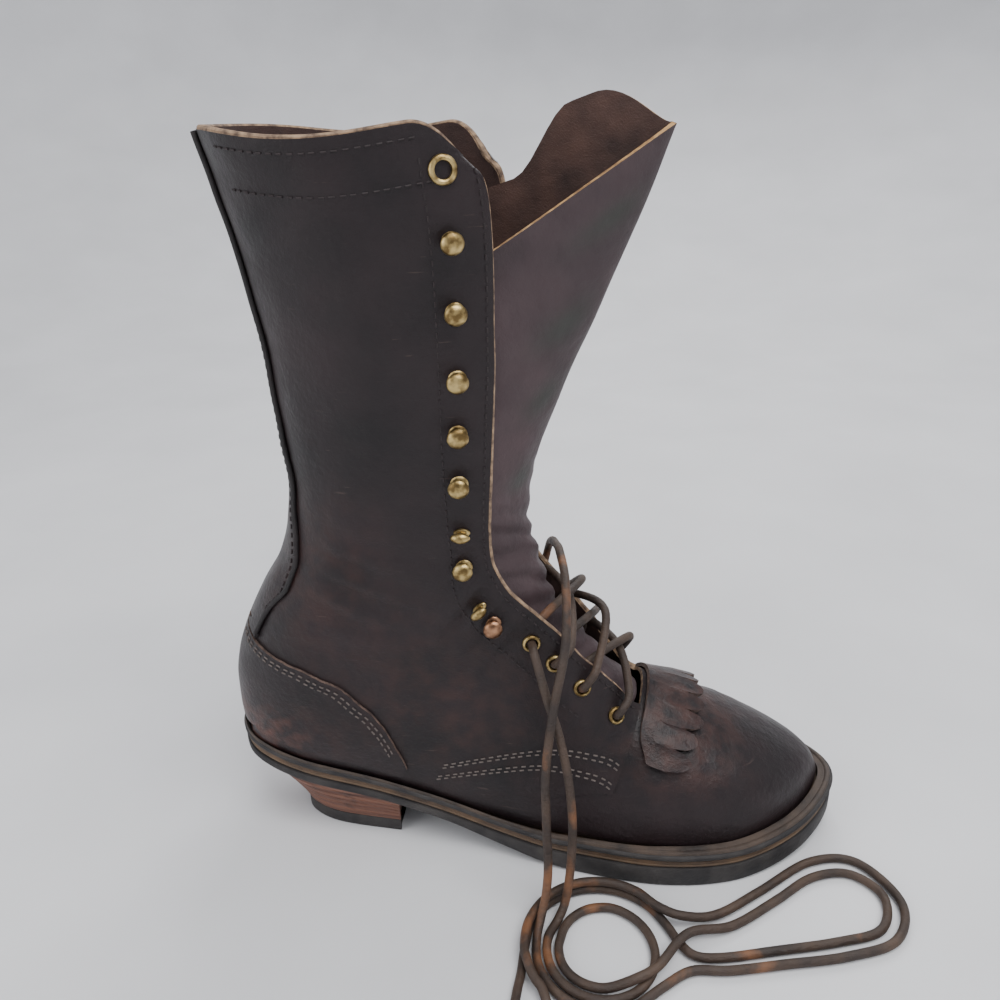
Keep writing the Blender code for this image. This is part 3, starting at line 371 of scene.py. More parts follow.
def lengths_along(points):
    """Length along a path up to each of its points."""
    return np.concatenate([[0.0], np.cumsum(np.linalg.norm(np.diff(points, axis=0), axis=1))])


def eased(start, stop, count):
    """Numbers from one end to another, closest together near both."""
    return start + (stop - start) * (1.0 - np.cos(np.linspace(0.0, math.pi, count))) / 2.0


def smooth_step(low, high, value):
    t = np.clip((np.asarray(value, float) - low) / (high - low), 0.0, 1.0)
    return t * t * (3.0 - 2.0 * t)


underside = curve_through(column(SOLE_SIDE, 0), column(SOLE_SIDE, 1))
outsole_thickness = curve_through(column(SOLE_SIDE, 0), column(SOLE_SIDE, 2))
welt_width = curve_through(column(WELT_WIDTH, 0), column(WELT_WIDTH, 1))
welt_overhung = curve_through(column(WELT_WIDTH, 0), column(WELT_WIDTH, 2))
lap_share = curve_through(column(LAP_EDGE, 0), column(LAP_EDGE, 1))
backstay_half = curve_through(column(BACKSTAY_WIDTH, 0), column(BACKSTAY_WIDTH, 1))


def outsole_top(x):
    return underside(x) + outsole_thickness(x)


def midsole_top(x):
    return outsole_top(x) + GAP + MIDSOLE


def outline(per_span, inset):
    """Outline of the sole from the back, outer side first, set in by a length or by one for each point."""
    points = through(SOLE_OUTLINE, per_span, closed=True)
    ahead = unit(np.roll(points, -1, axis=0) - np.roll(points, 1, axis=0))
    inward = np.stack([-ahead[:, 1], ahead[:, 0]], axis=1)
    return points + inward * np.broadcast_to(inset, len(points))[:, None]


def feather_line(side):
    """x and y of the upper's lower edge from heel to toe: side -1 is the outer side, 1 the inner side."""
    per_span = 12
    points = outline(per_span, welt_width(through(SOLE_OUTLINE, per_span, closed=True)[:, 0]))
    toe = TOE_POINT * per_span
    half = points[: toe + 1] if side < 0 else np.vstack([points[toe:], points[:1]])[::-1]
    return half[:, 0], half[:, 1]


def section_curves(side):
    """Functions of the row number for every value that shapes one half of a section."""
    ends = np.interp(column(FOOT_ROWS, 4), *feather_line(side))
    bulges = np.array(column(FOOT_ROWS, 5 if side < 0 else 6))
    values = [
        column(FOOT_ROWS, 0) + column(SHAFT_ROWS, 0),
        [row[2] + side * row[3] for row in FOOT_ROWS] + [side * row[2] for row in SHAFT_ROWS],
        column(FOOT_ROWS, 1) + column(SHAFT_ROWS, 1),
        column(FOOT_ROWS, 4) + column(SHAFT_ROWS, 3),
        [float(midsole_top(x)) + FOOT_GAP for x in column(FOOT_ROWS, 4)] + column(SHAFT_ROWS, 4),
        list(ends) + [0.0] * len(SHAFT_ROWS),
        list(ends + side * bulges) + [side * half for half in column(SHAFT_ROWS, 5)],
        column(FOOT_ROWS, 7) + column(SHAFT_ROWS, 6),
        column(FOOT_ROWS, 8) + column(SHAFT_ROWS, 7),
        column(FOOT_ROWS, 9) + column(SHAFT_ROWS, 8),
    ]
    places = np.arange(LAST_ROW + 1)
    return [curve_through(places, value) for value in values]


SECTION_CURVES = {-1: section_curves(-1), 1: section_curves(1)}
COLLAR_DIP = 4.5
COLLAR_DIP_FROM = 300.0
COLLAR_TOP = 333.0
CORNER_DROP = 13.0
CORNER_SHARE = 0.16


def section(row, side, shares):
    """Points of one section of the upper, at shares of the way from its front to its rear or lower edge."""
    shares = np.asarray(shares, float)
    front_x, front_y, front_z, rear_x, rear_z, end, width, widest, front_full, rear_full = (
        float(value(row)) for value in SECTION_CURVES[side]
    )
    fore = np.clip(1.0 - shares / widest, 0.0, 1.0)
    aft = np.clip((shares - widest) / (1.0 - widest), 0.0, 1.0)
    y_fore = front_y + (width - front_y) * (1.0 - fore ** front_full) ** (1.0 / front_full)
    y_aft = end + (width - end) * (1.0 - aft ** rear_full) ** (1.0 / rear_full)
    y = np.where(shares < widest, y_fore, y_aft)
    x = front_x + (rear_x - front_x) * shares
    z = front_z + (rear_z - front_z) * shares
    sag = np.sin(math.pi * np.clip(shares, 0.0, 1.0)) ** 2
    z = z - COLLAR_DIP * smooth_step(COLLAR_DIP_FROM, COLLAR_TOP, z) * sag
    corner = np.clip(1.0 - shares / CORNER_SHARE, 0.0, 1.0) ** 2
    z = z - CORNER_DROP * corner * float(smooth_step(LAST_ROW - 2.0, LAST_ROW, row))
    return np.stack([x, y, z], axis=1)


def evenly(row, side, start, stop, count):
    """Points evenly spaced along a section between two shares."""
    shares = eased(start, stop, 160)
    length = lengths_along(section(row, side, shares))
    wanted = np.interp(np.linspace(0.0, length[-1], count + 1), length, shares)
    return section(row, side, wanted)


def throat_share(row, side):
    """Share of a section at which the facing's edge lies: 0 where the front line is the edge itself."""
    if row >= LAP_ROW + 2:
        return 0.0
    half_gap = THROAT_START + (THROAT_NEXT - THROAT_START) * (row - LAP_ROW)
    shares = np.linspace(0.0, 0.5, 400)
    out = np.abs(section(row, side, shares)[:, 1])
    return float(np.interp(half_gap, np.maximum.accumulate(out), shares))


def section_length(row, side, start):
    """Shares and the lengths along a section from a starting share."""
    shares = eased(start, 1.0, 300)
    return shares, lengths_along(section(row, side, shares))


def share_behind(row, side, back):
    """Share at a length behind the facing's edge."""
    shares, length = section_length(row, side, throat_share(max(row, LAP_ROW), side))
    return float(np.interp(back, length, shares))


# Worn leather. A place on the side view is its middle x and z and its reach in x and z
ANKLE_PLACE = (62.0, 148.0, 40.0, 26.0)
ANKLE_FOLD = 1.5
ANKLE_PITCH = 0.42
ANKLE_LEAN = 0.42
ANKLE_SWAY = 5.0
ANKLE_SWAY_SCALE = 0.03
ANKLE_CLEAR_OF_BACK = (56.0, 76.0)
INSTEP_PLACE = (128.0, 132.0, 22.0, 20.0)
INSTEP_FOLD = 0.9
INSTEP_PITCH = 0.5
INSTEP_WAY = (0.8, -0.6)
FLEX_PLACE = (222.0, 55.0, 24.0, 26.0)
FLEX_FOLD = 0.45
FLEX_PITCH = 0.55
FLEX_SWAY = 3.0
FLEX_SWAY_SCALE = 0.05
SLACK_STRETCH = 0.7
SLACK_SCALE = 0.022
SLACK_FINE_SCALE = 0.055
SLACK_FINE_SHARE = 0.5
SLACK_FOOT = 0.55
SLACK_SHAFT = 0.7
SLACK_SHAFT_FROM = (60.0, 130.0)
SMOOTH_AT_SEAMS = (2.0, 30.0)


def nearness(x, z, place):
    """1 in the middle of a place on the side view, falling to 0 round it."""
    middle_x, middle_z, reach_x, reach_z = place
    return np.exp(-((x - middle_x) / reach_x) ** 2 - ((z - middle_z) / reach_z) ** 2)


def waver(point, scale):
    return noise.noise(Vector(point) * scale)


def creases(points):
    """How far worn leather stands off its smooth form: slack, folds at ankle and instep, and flex lines."""
    off = np.zeros(len(points))
    for k, (x, y, z) in enumerate(points):
        slack = waver((x, y * SLACK_STRETCH, z), SLACK_SCALE)
        slack += SLACK_FINE_SHARE * waver((x, y, z), SLACK_FINE_SCALE)
        off[k] = (SLACK_FOOT + SLACK_SHAFT * smooth_step(*SLACK_SHAFT_FROM, z)) * slack
        ankle = nearness(x, z, ANKLE_PLACE) * smooth_step(*ANKLE_CLEAR_OF_BACK, x)
        sway = ANKLE_SWAY * waver((x, y, z), ANKLE_SWAY_SCALE)
        wave = math.sin((z + ANKLE_LEAN * x + sway) * ANKLE_PITCH)
        off[k] += ANKLE_FOLD * ankle * wave
        wave = math.sin((INSTEP_WAY[0] * x + INSTEP_WAY[1] * z) * INSTEP_PITCH)
        off[k] += INSTEP_FOLD * nearness(x, z, INSTEP_PLACE) * wave
        wave = math.sin(x * FLEX_PITCH + FLEX_SWAY * waver((x, y, z), FLEX_SWAY_SCALE))
        off[k] += FLEX_FOLD * nearness(x, z, FLEX_PLACE) * wave
        off[k] *= smooth_step(*SMOOTH_AT_SEAMS, abs(y))
    return off * bpy.context.scene.boot_looks.crease_depth


def point_normals(points, faces):
    normals = np.zeros_like(points)
    for face in faces:
        corners = points[list(face)]
        across = np.cross(corners[2] - corners[0], corners[-1] - corners[1])
        if len(face) == 3:
            across = np.cross(corners[1] - corners[0], corners[2] - corners[0])
        for k in face:
            normals[k] += across
    return unit(normals)


def surface(row, side, share, lift):
    """A point off the upper's outer face, with the axes out of it, up along it and towards the back."""
    step = 0.12
    ahead = section(min(row + step, LAST_ROW), side, [share])[0]
    behind = section(max(row - step, 0.0), side, [share])[0]
    here, back = section(row, side, [share, min(share + 0.01, 1.0)])
    front = section(row, side, [max(share - 0.01, 0.0)])[0]
    along = unit(ahead - behind)
    across = unit(back - front)
    out = unit(np.cross(along, across) if side < 0 else np.cross(across, along))
    return here + out * (lift + float(creases([here])[0])), out, along, across


def facing_row(front_z, side):
    rows = np.linspace(LAP_ROW, LAST_ROW, 300)
    return float(np.interp(front_z, SECTION_CURVES[side][2](rows), rows))


def on_facing(front_z, side, setback, lift):
    """A point off the facing at a height, with its axes. A negative setback lies in front of the edge."""
    row = facing_row(front_z, side)
    place, out, along, across = surface(row, side, share_behind(row, side, max(setback, 0.5)), lift)
    return place + across * min(setback, 0.0), out, along, across


def to_frame(points):
    """Millimetres of the tables to metres of the row frame."""
    return (np.asarray(points, float) - np.array([ORIGIN_X, 0.0, 0.0])) * MM


def mesh_piece(name, points, faces, materials, kinds=None, smooth_angle=40.0):
    """One mesh piece of points in millimetres that rides on the boot. kinds picks each face's material."""
    mesh = bpy.data.meshes.new(name)
    corners = [tuple(dict.fromkeys(face)) for face in faces]
    mesh.from_pydata([tuple(point) for point in to_frame(points)], [], corners)
    mesh.validate()
    for material in materials:
        mesh.materials.append(material)
    if kinds is not None and len(mesh.polygons) == len(kinds):
        mesh.polygons.foreach_set("material_index", kinds)
    mesh.polygons.foreach_set("use_smooth", [True] * len(mesh.polygons))
    mesh.set_sharp_from_angle(angle=math.radians(smooth_angle))
    mesh.update()
    obj = bpy.data.objects.new(name, mesh)
    bpy.context.scene.collection.objects.link(obj)
    turn_outward(obj)
    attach(obj, BODY)
    return obj


def turn_outward(obj):
    build = bmesh.new()
    build.from_mesh(obj.data)
    bmesh.ops.recalc_face_normals(build, faces=build.faces)
    if build.calc_volume(signed=True) < 0.0:
        bmesh.ops.reverse_faces(build, faces=build.faces)
    build.to_mesh(obj.data)
    build.free()


def shell(points, faces, outer, inner, raise_of=None):
    """A closed wall on a net between two offsets: points, faces and each face's kind (outer, inner, edge).

    raise_of gives a further rise of a face's corners, so that a lapping piece makes a step.
    """
    normals = point_normals(points, faces)
    base = points + normals * creases(points)[:, None]
    found = list(base + normals * inner)
    raised = {}

    def top(k, n):
        rise = 0.0 if raise_of is None else round(raise_of(k, n), 4)
        if (k, rise) not in raised:
            raised[(k, rise)] = len(found)
            found.append(base[k] + normals[k] * (outer + rise))
        return raised[(k, rise)]

    wall = []
    kinds = []
    edges = {}
    for n, face in enumerate(faces):
        wall += [tuple(top(k, n) for k in face), tuple(reversed(face))]
        kinds += [0, 1]
        for m, k in enumerate(face):
            after = face[(m + 1) % len(face)]
            edges.setdefault((min(k, after), max(k, after)), []).append((k, after, n))
    rims = {}
    for uses in edges.values():
        k, after, n = uses[0]
        if len(uses) == 1:
            wall.append((top(after, n), top(k, n), k, after))
            kinds.append(2)
            for end in (k, after):
                rims.setdefault(end, set()).add(top(end, n))
        elif (top(k, n), top(after, n)) != (top(k, uses[1][2]), top(after, uses[1][2])):
            other = uses[1][2]
            wall.append((top(after, n), top(k, n), top(k, other), top(after, other)))
            kinds.append(0)
    for k, tops in rims.items():
        if len(tops) == 2:
            wall.append((*tops, k))
            kinds.append(2)
    return np.array(found), wall, kinds


def add_mask(obj, name, values):
    """A number for each point of a mesh, which a material reads by name."""
    layer = obj.data.attributes.new(name, "FLOAT", "POINT")
    layer.data.foreach_set("value", np.asarray(values, np.float32))


def ring_faces(rings, sides, closed=False):
    """Faces between rings of points that lie one after another. closed joins the last ring to the first."""
    faces = []
    for k in range(rings if closed else rings - 1):
        there = (k + 1) % rings
        for n in range(sides):
            after = (n + 1) % sides
            faces.append((k * sides + n, k * sides + after, there * sides + after, there * sides + n))
    return faces


# A way that no tube starts along
SLANT = np.array([0.31, 0.53, 0.79])


def capped(rings, sides):
    """Faces of a body of rings that is closed at both ends."""
    last = (rings - 1) * sides
    return ring_faces(rings, sides) + [tuple(range(sides)), tuple(range(last, last + sides))]


def tube_mesh(path, radius, sides):
    """Points and faces of a round tube along a path, closed at both ends."""
    path = np.asarray(path, float)
    points = []
    side_way = np.cross(path[1] - path[0], SLANT)
    for k in range(len(path)):
        ahead = unit(path[min(k + 1, len(path) - 1)] - path[max(k - 1, 0)])
        side_way = unit(side_way - ahead * side_way.dot(ahead))
        other = np.cross(ahead, side_way)
        for n in range(sides):
            angle = 2.0 * math.pi * n / sides
            points.append(path[k] + radius * (math.cos(angle) * side_way + math.sin(angle) * other))
    return points, capped(len(path), sides)


def tubes(paths, radius, sides):
    """Points and faces of several tubes as one piece."""
    points = []
    faces = []
    for path in paths:
        ring, around = tube_mesh(path, radius, sides)
        faces += [tuple(k + len(points) for k in face) for face in around]
        points += ring
    return points, faces


def thick_sheet(long, wide):
    """Faces of a closed sheet and the kind of each (front, back, edge). Front points come first, in rows."""
    count = long * wide
    front = []
    for i in range(long - 1):
        for k in range(i * wide, (i + 1) * wide - 1):
            front.append((k, k + 1, k + wide + 1, k + wide))
    faces = front + [tuple(count + k for k in reversed(face)) for face in front]
    kinds = [0] * len(front) + [1] * len(front)
    rim = list(range(wide))
    rim += [i * wide + wide - 1 for i in range(1, long)]
    rim += [(long - 1) * wide + j for j in range(wide - 2, -1, -1)]
    rim += [i * wide for i in range(long - 2, 0, -1)]
    for k, after in zip(rim, rim[1:] + rim[:1]):
        faces.append((k, after, count + after, count + k))
        kinds.append(2)
    return faces, kinds


def by_length(path, spacing):
    """The same path with points at an even spacing."""
    path = np.asarray(path, float)
    length = lengths_along(path)
    count = max(2, int(round(length[-1] / spacing)))
    wanted = np.linspace(0.0, length[-1], count + 1)
    return np.stack([np.interp(wanted, length, path[:, n]) for n in range(3)], axis=1)


# Materials


def linear(red, green, blue):
    """A colour read from the photo, 0 to 255, as the shader's linear value."""
    shares = [value / 255.0 for value in (red, green, blue)]
    return tuple(c / 12.92 if c <= 0.04045 else ((c + 0.055) / 1.055) ** 2.4 for c in shares) + (1.0,)


class Shader:
    """A small helper that adds nodes to one material and links them."""

    def __init__(self, name):
        self.material = bpy.data.materials.new(name)
        self.material.use_nodes = True
        self.nodes = self.material.node_tree.nodes
        self.links = self.material.node_tree.links
        self.surface = self.nodes["Principled BSDF"]
        place = self.nodes.new("ShaderNodeTexCoord")
        self.place = place.outputs["Object"]

    def link(self, output, socket):
        self.links.new(output, socket)

    def noise(self, scale, detail=4.0, stretch=None):
        node = self.nodes.new("ShaderNodeTexNoise")
        node.inputs["Scale"].default_value = scale
        node.inputs["Detail"].default_value = detail
        source = self.place
        if stretch:
            mapping = self.nodes.new("ShaderNodeMapping")
            mapping.inputs["Scale"].default_value = stretch
            self.link(self.place, mapping.inputs["Vector"])
            source = mapping.outputs["Vector"]
        self.link(source, node.inputs["Vector"])
        return node.outputs["Fac"]

    def cells(self, scale):
        node = self.nodes.new("ShaderNodeTexVoronoi")
        node.feature = "DISTANCE_TO_EDGE"
        node.inputs["Scale"].default_value = scale
        self.link(self.place, node.inputs["Vector"])
        return node.outputs["Distance"]

    def ramp(self, value, low, high):
        """0 to 1 between two values."""
        node = self.nodes.new("ShaderNodeMapRange")
        node.inputs["From Min"].default_value = low
        node.inputs["From Max"].default_value = high
        self.link(value, node.inputs["Value"])
        return node.outputs["Result"]

    def mix(self, share, first, second):
        """A colour between two, each a colour or an output."""
        node = self.nodes.new("ShaderNodeMix")
        node.data_type = "RGBA"
        self.link(share, node.inputs["Factor"])
        for value, socket in ((first, node.inputs["A"]), (second, node.inputs["B"])):
            self.feed(value, socket)
        return node.outputs["Result"]

    def two_tone(self, scale, detail, low, high, dark, light):
        """A colour that wanders between two by a noise."""
        return self.mix(self.ramp(self.noise(scale, detail), low, high), dark, light)

    def feed(self, value, socket):
        if isinstance(value, bpy.types.NodeSocket):
            self.link(value, socket)
        else:
            socket.default_value = value

    def mask(self, name):
        node = self.nodes.new("ShaderNodeAttribute")
        node.attribute_name = name
        return node.outputs["Fac"]

    def times(self, first, second):
        node = self.nodes.new("ShaderNodeMath")
        node.operation = "MULTIPLY"
        self.feed(first, node.inputs[0])
        self.feed(second, node.inputs[1])
        return node.outputs["Value"]

    def bump(self, heights):
        """Adds height maps, each an output with its depth in metres."""
        before = None
        for height, depth in heights:
            node = self.nodes.new("ShaderNodeBump")
            node.inputs["Distance"].default_value = depth
            self.link(height, node.inputs["Height"])
            if before is not None:
                self.link(before, node.inputs["Normal"])
            before = node.outputs["Normal"]
        self.link(before, self.surface.inputs["Normal"])

    def finish(self, colour, rough_low, rough_high, scale=90.0):
        self.link(colour, self.surface.inputs["Base Color"])
        node = self.nodes.new("ShaderNodeMapRange")
        node.inputs["To Min"].default_value = rough_low
        node.inputs["To Max"].default_value = rough_high
        self.link(self.noise(scale), node.inputs["Value"])
        self.link(node.outputs["Result"], self.surface.inputs["Roughness"])
        return self.material


@functools.cache
def leather():
    """Oiled leather of the upper: dark brown-black with a wine tint, red-brown where it is worn."""
    shader = Shader("oiled_leather")
    base = shader.two_tone(22.0, 5.0, 0.35, 0.68, linear(21, 16, 18), linear(38, 28, 30))
    rub = shader.times(shader.mask("wear"), shader.ramp(shader.noise(120.0, 6.0), 0.38, 0.66))
    base = shader.mix(rub, base, linear(88, 55, 46))
    scratch = shader.ramp(shader.noise(60.0, 3.0, (1.0, 1.0, 9.0)), 0.70, 0.76)
    base = shader.mix(shader.times(scratch, 0.35), base, linear(92, 74, 68))
    pores = (shader.cells(1100.0), 0.00012)
    shader.bump([pores, (shader.noise(420.0, 6.0), 0.00035), (shader.noise(70.0), 0.0008)])
    shader.surface.inputs["Specular IOR Level"].default_value = 0.34
    return shader.finish(base, 0.3, 0.55)


@functools.cache
def suede(name, dark, light):
    """The flesh side of leather: matt, with a short nap."""
    shader = Shader(name)
    base = shader.two_tone(60.0, 6.0, 0.3, 0.7, dark, light)
    shader.bump([(shader.noise(1500.0, 6.0), 0.0004), (shader.noise(90.0), 0.001)])
    return shader.finish(base, 0.78, 0.95)


@functools.cache
def cut_edge(name, dark, light):
    """The raw cut edge of leather, with fibres along it."""
    shader = Shader(name)
    base = shader.two_tone(300.0, 6.0, 0.35, 0.65, dark, light)
    shader.bump([(shader.noise(900.0, 6.0), 0.0004)])
    return shader.finish(base, 0.7, 0.9)


@functools.cache
def tongue_leather():
    """Grain side of the tongue: softer, purple-brown, with the marks that the hooks pressed into it."""
    shader = Shader("tongue_leather")
    base = shader.two_tone(26.0, 6.0, 0.3, 0.7, linear(48, 36, 39), linear(74, 57, 60))
    base = shader.mix(shader.mask("mark"), base, linear(46, 48, 43))
    pores = (shader.cells(900.0), 0.00012)
    shader.bump([pores, (shader.noise(180.0, 6.0), 0.0007), (shader.noise(55.0), 0.0015)])
    return shader.finish(base, 0.45, 0.7)


@functools.cache
def stacked_leather():
    """Edge of the stacked heel: red-brown lifts with dark lines between them."""
    shader = Shader("stacked_leather")
    lifts = shader.noise(40.0, 3.0, (0.2, 0.2, 7.0))
    base = shader.mix(shader.ramp(lifts, 0.35, 0.65), linear(74, 44, 36), linear(122, 80, 62))
    dirt = shader.ramp(shader.noise(70.0, 6.0), 0.56, 0.72)
    base = shader.mix(dirt, base, linear(48, 34, 30))
    shader.bump([(shader.noise(500.0, 6.0, (0.3, 0.3, 3.0)), 0.0004), (shader.noise(120.0), 0.0006)])
    return shader.finish(base, 0.5, 0.8)


@functools.cache
def edge_leather(name, dark, light):
    """A leather edge of the sole, rubbed and dirty."""
    shader = Shader(name)
    base = shader.two_tone(90.0, 6.0, 0.32, 0.68, dark, light)
    shader.bump([(shader.noise(500.0, 6.0), 0.0004), (shader.noise(80.0), 0.0006)])
    return shader.finish(base, 0.5, 0.85)


@functools.cache
def rubber():
    """Matt black rubber, greyed by dust."""
    shader = Shader("sole_rubber")
    base = shader.two_tone(60.0, 6.0, 0.4, 0.75, linear(34, 32, 33), linear(66, 62, 60))
    shader.bump([(shader.noise(600.0, 5.0), 0.0003), (shader.noise(110.0), 0.0005)])
    return shader.finish(base, 0.6, 0.9)


@functools.cache
def metal(name, dark, light):
    """Tarnished brass or copper."""
    shader = Shader(name)
    base = shader.two_tone(260.0, 6.0, 0.4, 0.62, dark, light)
    shader.surface.inputs["Metallic"].default_value = 1.0
    shader.bump([(shader.noise(700.0, 4.0), 0.00012)])
    return shader.finish(base, 0.24, 0.5, 300.0)


def brass():
    return metal("antique_brass", linear(112, 92, 58), linear(196, 172, 118))


@functools.cache
def lace_material():
    """Rawhide lace: dark brown, with orange-brown worn stretches."""
    shader = Shader("rawhide_lace")
    base = shader.two_tone(60.0, 4.0, 0.35, 0.7, linear(44, 34, 29), linear(76, 59, 47))
    worn = shader.ramp(shader.noise(38.0, 5.0), 0.6, 0.7)
    base = shader.mix(shader.times(worn, 0.75), base, linear(128, 84, 52))
    shader.bump([(shader.noise(420.0, 6.0, (1.0, 1.0, 3.0)), 0.0005), (shader.noise(130.0), 0.0007)])
    return shader.finish(base, 0.5, 0.8)


@functools.cache
def thread(name, colour):
    """Waxed thread in a colour and a lighter tone of it."""
    shader = Shader(name)
    light = tuple(c * 1.5 for c in colour[:3]) + (1.0,)
    base = shader.two_tone(500.0, 4.0, 0.3, 0.7, colour, light)
    shader.bump([(shader.noise(1500.0), 0.0002)])
    return shader.finish(base, 0.6, 0.85)


def inside_leather():
    return suede("inside_leather", linear(44, 30, 27), linear(72, 50, 44))


def collar_edge():
    return cut_edge("collar_edge", linear(92, 74, 62), linear(168, 140, 112))


def counter_edge():
    return cut_edge("counter_edge", linear(58, 46, 44), linear(112, 92, 82))


def dark_piping():
    return edge_leather("dark_piping", linear(16, 13, 14), linear(32, 25, 26))


# Pieces

UPPER_ROW_STEPS = 5
BRIDGE_COLUMNS = 8
QUARTER_COLUMNS = 40
LOW_COLUMNS = 16
COLUMNS = BRIDGE_COLUMNS + QUARTER_COLUMNS + LOW_COLUMNS
LAP_COLUMN = BRIDGE_COLUMNS + QUARTER_COLUMNS


def upper_net():
    """The upper as a net: points, faces, whether the quarters cover each face, and each point's row."""
    places = np.linspace(0.0, LAST_ROW, LAST_ROW * UPPER_ROW_STEPS + 1)
    points = []
    index = {}

    def place(key, point):
        if key not in index:
            index[key] = len(points)
            points.append(point)
        return index[key]

    tip_x = SOLE_LENGTH - float(welt_width(SOLE_LENGTH))
    tip = np.array([tip_x, TOE_Y, float(midsole_top(tip_x)) + FOOT_GAP])
    faces = []
    covered = []
    for side in (-1, 1):
        grid = []
        for i, row in enumerate(places):
            edge = throat_share(max(row, LAP_ROW), side)
            low = float(lap_share(row))
            strips = [
                evenly(row, side, 0.0, edge, BRIDGE_COLUMNS)[:-1],
                evenly(row, side, edge, low, QUARTER_COLUMNS)[:-1],
                evenly(row, side, low, 1.0, LOW_COLUMNS),
            ]
            line = []
            for j, point in enumerate(np.vstack(strips)):
                shared = j == 0 or (j == COLUMNS and row >= FIRST_SHAFT)
                line.append(place((i, j, 0 if shared else side), point))
            grid.append(line)
        tip_index = place("tip", tip)
        for j in range(COLUMNS):
            face = (tip_index, grid[0][j], grid[0][j + 1])
            faces.append(face if side < 0 else face[::-1])
            covered.append(False)
        for i in range(len(places) - 1):
            behind = places[i] >= LAP_ROW - 1e-6
            for j in range(COLUMNS):
                if behind and j < BRIDGE_COLUMNS:
                    continue
                face = (grid[i][j], grid[i + 1][j], grid[i + 1][j + 1], grid[i][j + 1])
                faces.append(face if side < 0 else face[::-1])
                covered.append(behind and j < LAP_COLUMN)
    used = sorted({k for face in faces for k in face})
    renumber = {old: new for new, old in enumerate(used)}
    rows = np.zeros(len(used))
    for key, k in index.items():
        if k in renumber and key != "tip":
            rows[renumber[k]] = places[key[0]]
    return np.array(points)[used], [tuple(renumber[k] for k in face) for face in faces], covered, rows


WEAR_PLACES = [
    # share, (middle x and z, reach in x and z)
    (1.0, (22.0, 62.0, 26.0, 14.0)),
    (0.22, (120.0, 85.0, 50.0, 40.0)),
    (0.45, (228.0, 62.0, 28.0, 16.0)),
    (0.22, (60.0, 150.0, 30.0, 40.0)),
]


def wear_of(points):
    """Where the leather is rubbed: heel, quarter, vamp and ankle."""
    wear = sum(share * nearness(points[:, 0], points[:, 2], place) for share, place in WEAR_PLACES)
    return np.clip(wear, 0.0, 1.0)


def make_upper():
    """The hollow upper with its wall, the lapped quarters and the creases of wear."""
    points, faces, covered, rows = upper_net()
    dying = smooth_step(LAP_ROW, LAP_END, rows)

    def rise(k, n):
        return LAP if covered[n] else LAP * dying[k]

    found, wall, kinds = shell(points, faces, 0.0, -WALL, rise)
    upper = mesh_piece("upper_leather", found, wall, [leather(), inside_leather(), collar_edge()], kinds)
    add_mask(upper, "wear", wear_of(found))
    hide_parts("upper")
    return upper


def counter_start(row, side):
    """Share of a section at which the counter's upper edge crosses it."""
    shares = np.linspace(0.3, 1.0, 300)
    spots = section(row, side, shares)
    top = np.interp(spots[:, 0], column(COUNTER_TOP, 0), column(COUNTER_TOP, 1))
    above = np.nonzero(spots[:, 2] > top)[0]
    return min(shares[above[-1]], counter_stop(row, side) - COUNTER_LEAST)


def backstay_start(row, side):
    """Share of a section at which the backstay's edge lies."""
    shares = np.linspace(0.6, 1.0, 300)
    spots = section(row, side, shares)
    half = float(backstay_half(spots[-1, 2]))
    edge = float(np.interp(half, np.abs(spots[::-1, 1]), shares[::-1]))
    return min(edge, backstay_stop(row, side) - BACKSTAY_LEAST)


def backstay_stop(row, side):
    """Share at which the backstay ends: at the counter's edge low down, and at the back seam above it."""
    if row >= seam_row(BACKSTAY_SEAM):
        return 1.0
    return counter_start(row, side) - BACKSTAY_CLEAR


def counter_stop(row, _side):
    """Share at which the counter ends: above the welt round the heel, and at the back seam higher up."""
    return float(np.interp(row, (FIRST_SHAFT, COUNTER_SEAM_ROW), (COUNTER_FOOT, 1.0)))


def overlay_net(rows, start, stop, seam, columns):
    """A net on the upper between two shares, on both sides. They join at the back from the seam row up."""
    points = []
    index = {}
    faces = []
    for side in (-1, 1):
        for i, row in enumerate(rows):
            for j, point in enumerate(evenly(row, side, start(row, side), stop(row, side), columns)):
                key = (i, j, 0 if j == columns and row >= seam else side)
                if key not in index:
                    index[key] = len(points)
                    points.append(point)
        for i in range(len(rows) - 1):
            for j in range(columns):
                corners = ((i, j), (i + 1, j), (i + 1, j + 1), (i, j + 1))
                face = tuple(index.get((*corner, 0), index.get((*corner, side))) for corner in corners)
                faces.append(face if side < 0 else face[::-1])
    return np.array(points), faces


OVERLAY_SEAT = 1.3
OVERLAY_TOP = 2.7
EDGE_SEAT = -0.3
EDGE_RADIUS = 1.2
PIPING_SEAT = 2.3


def seam_row(height):
    """Row whose back seam is at a height."""
    rows = np.linspace(FIRST_SHAFT, LAST_ROW, 400)
    return float(np.interp(height, SECTION_CURVES[1][4](rows), rows))


def rows_through(first, seam, last, below, above):
    """Rows of an overlay below and above the one at which its two sides meet."""
    return np.concatenate([np.linspace(first, seam, below), np.linspace(seam, last, above)[1:]])


def counter_rows():
    return rows_through(COUNTER_FIRST_ROW, COUNTER_SEAM_ROW, seam_row(COUNTER_SEAM_TOP), 60, 26)


def backstay_rows():
    return rows_through(seam_row(BACKSTAY_FOOT), seam_row(BACKSTAY_SEAM), LAST_ROW - 0.02, 16, 80)


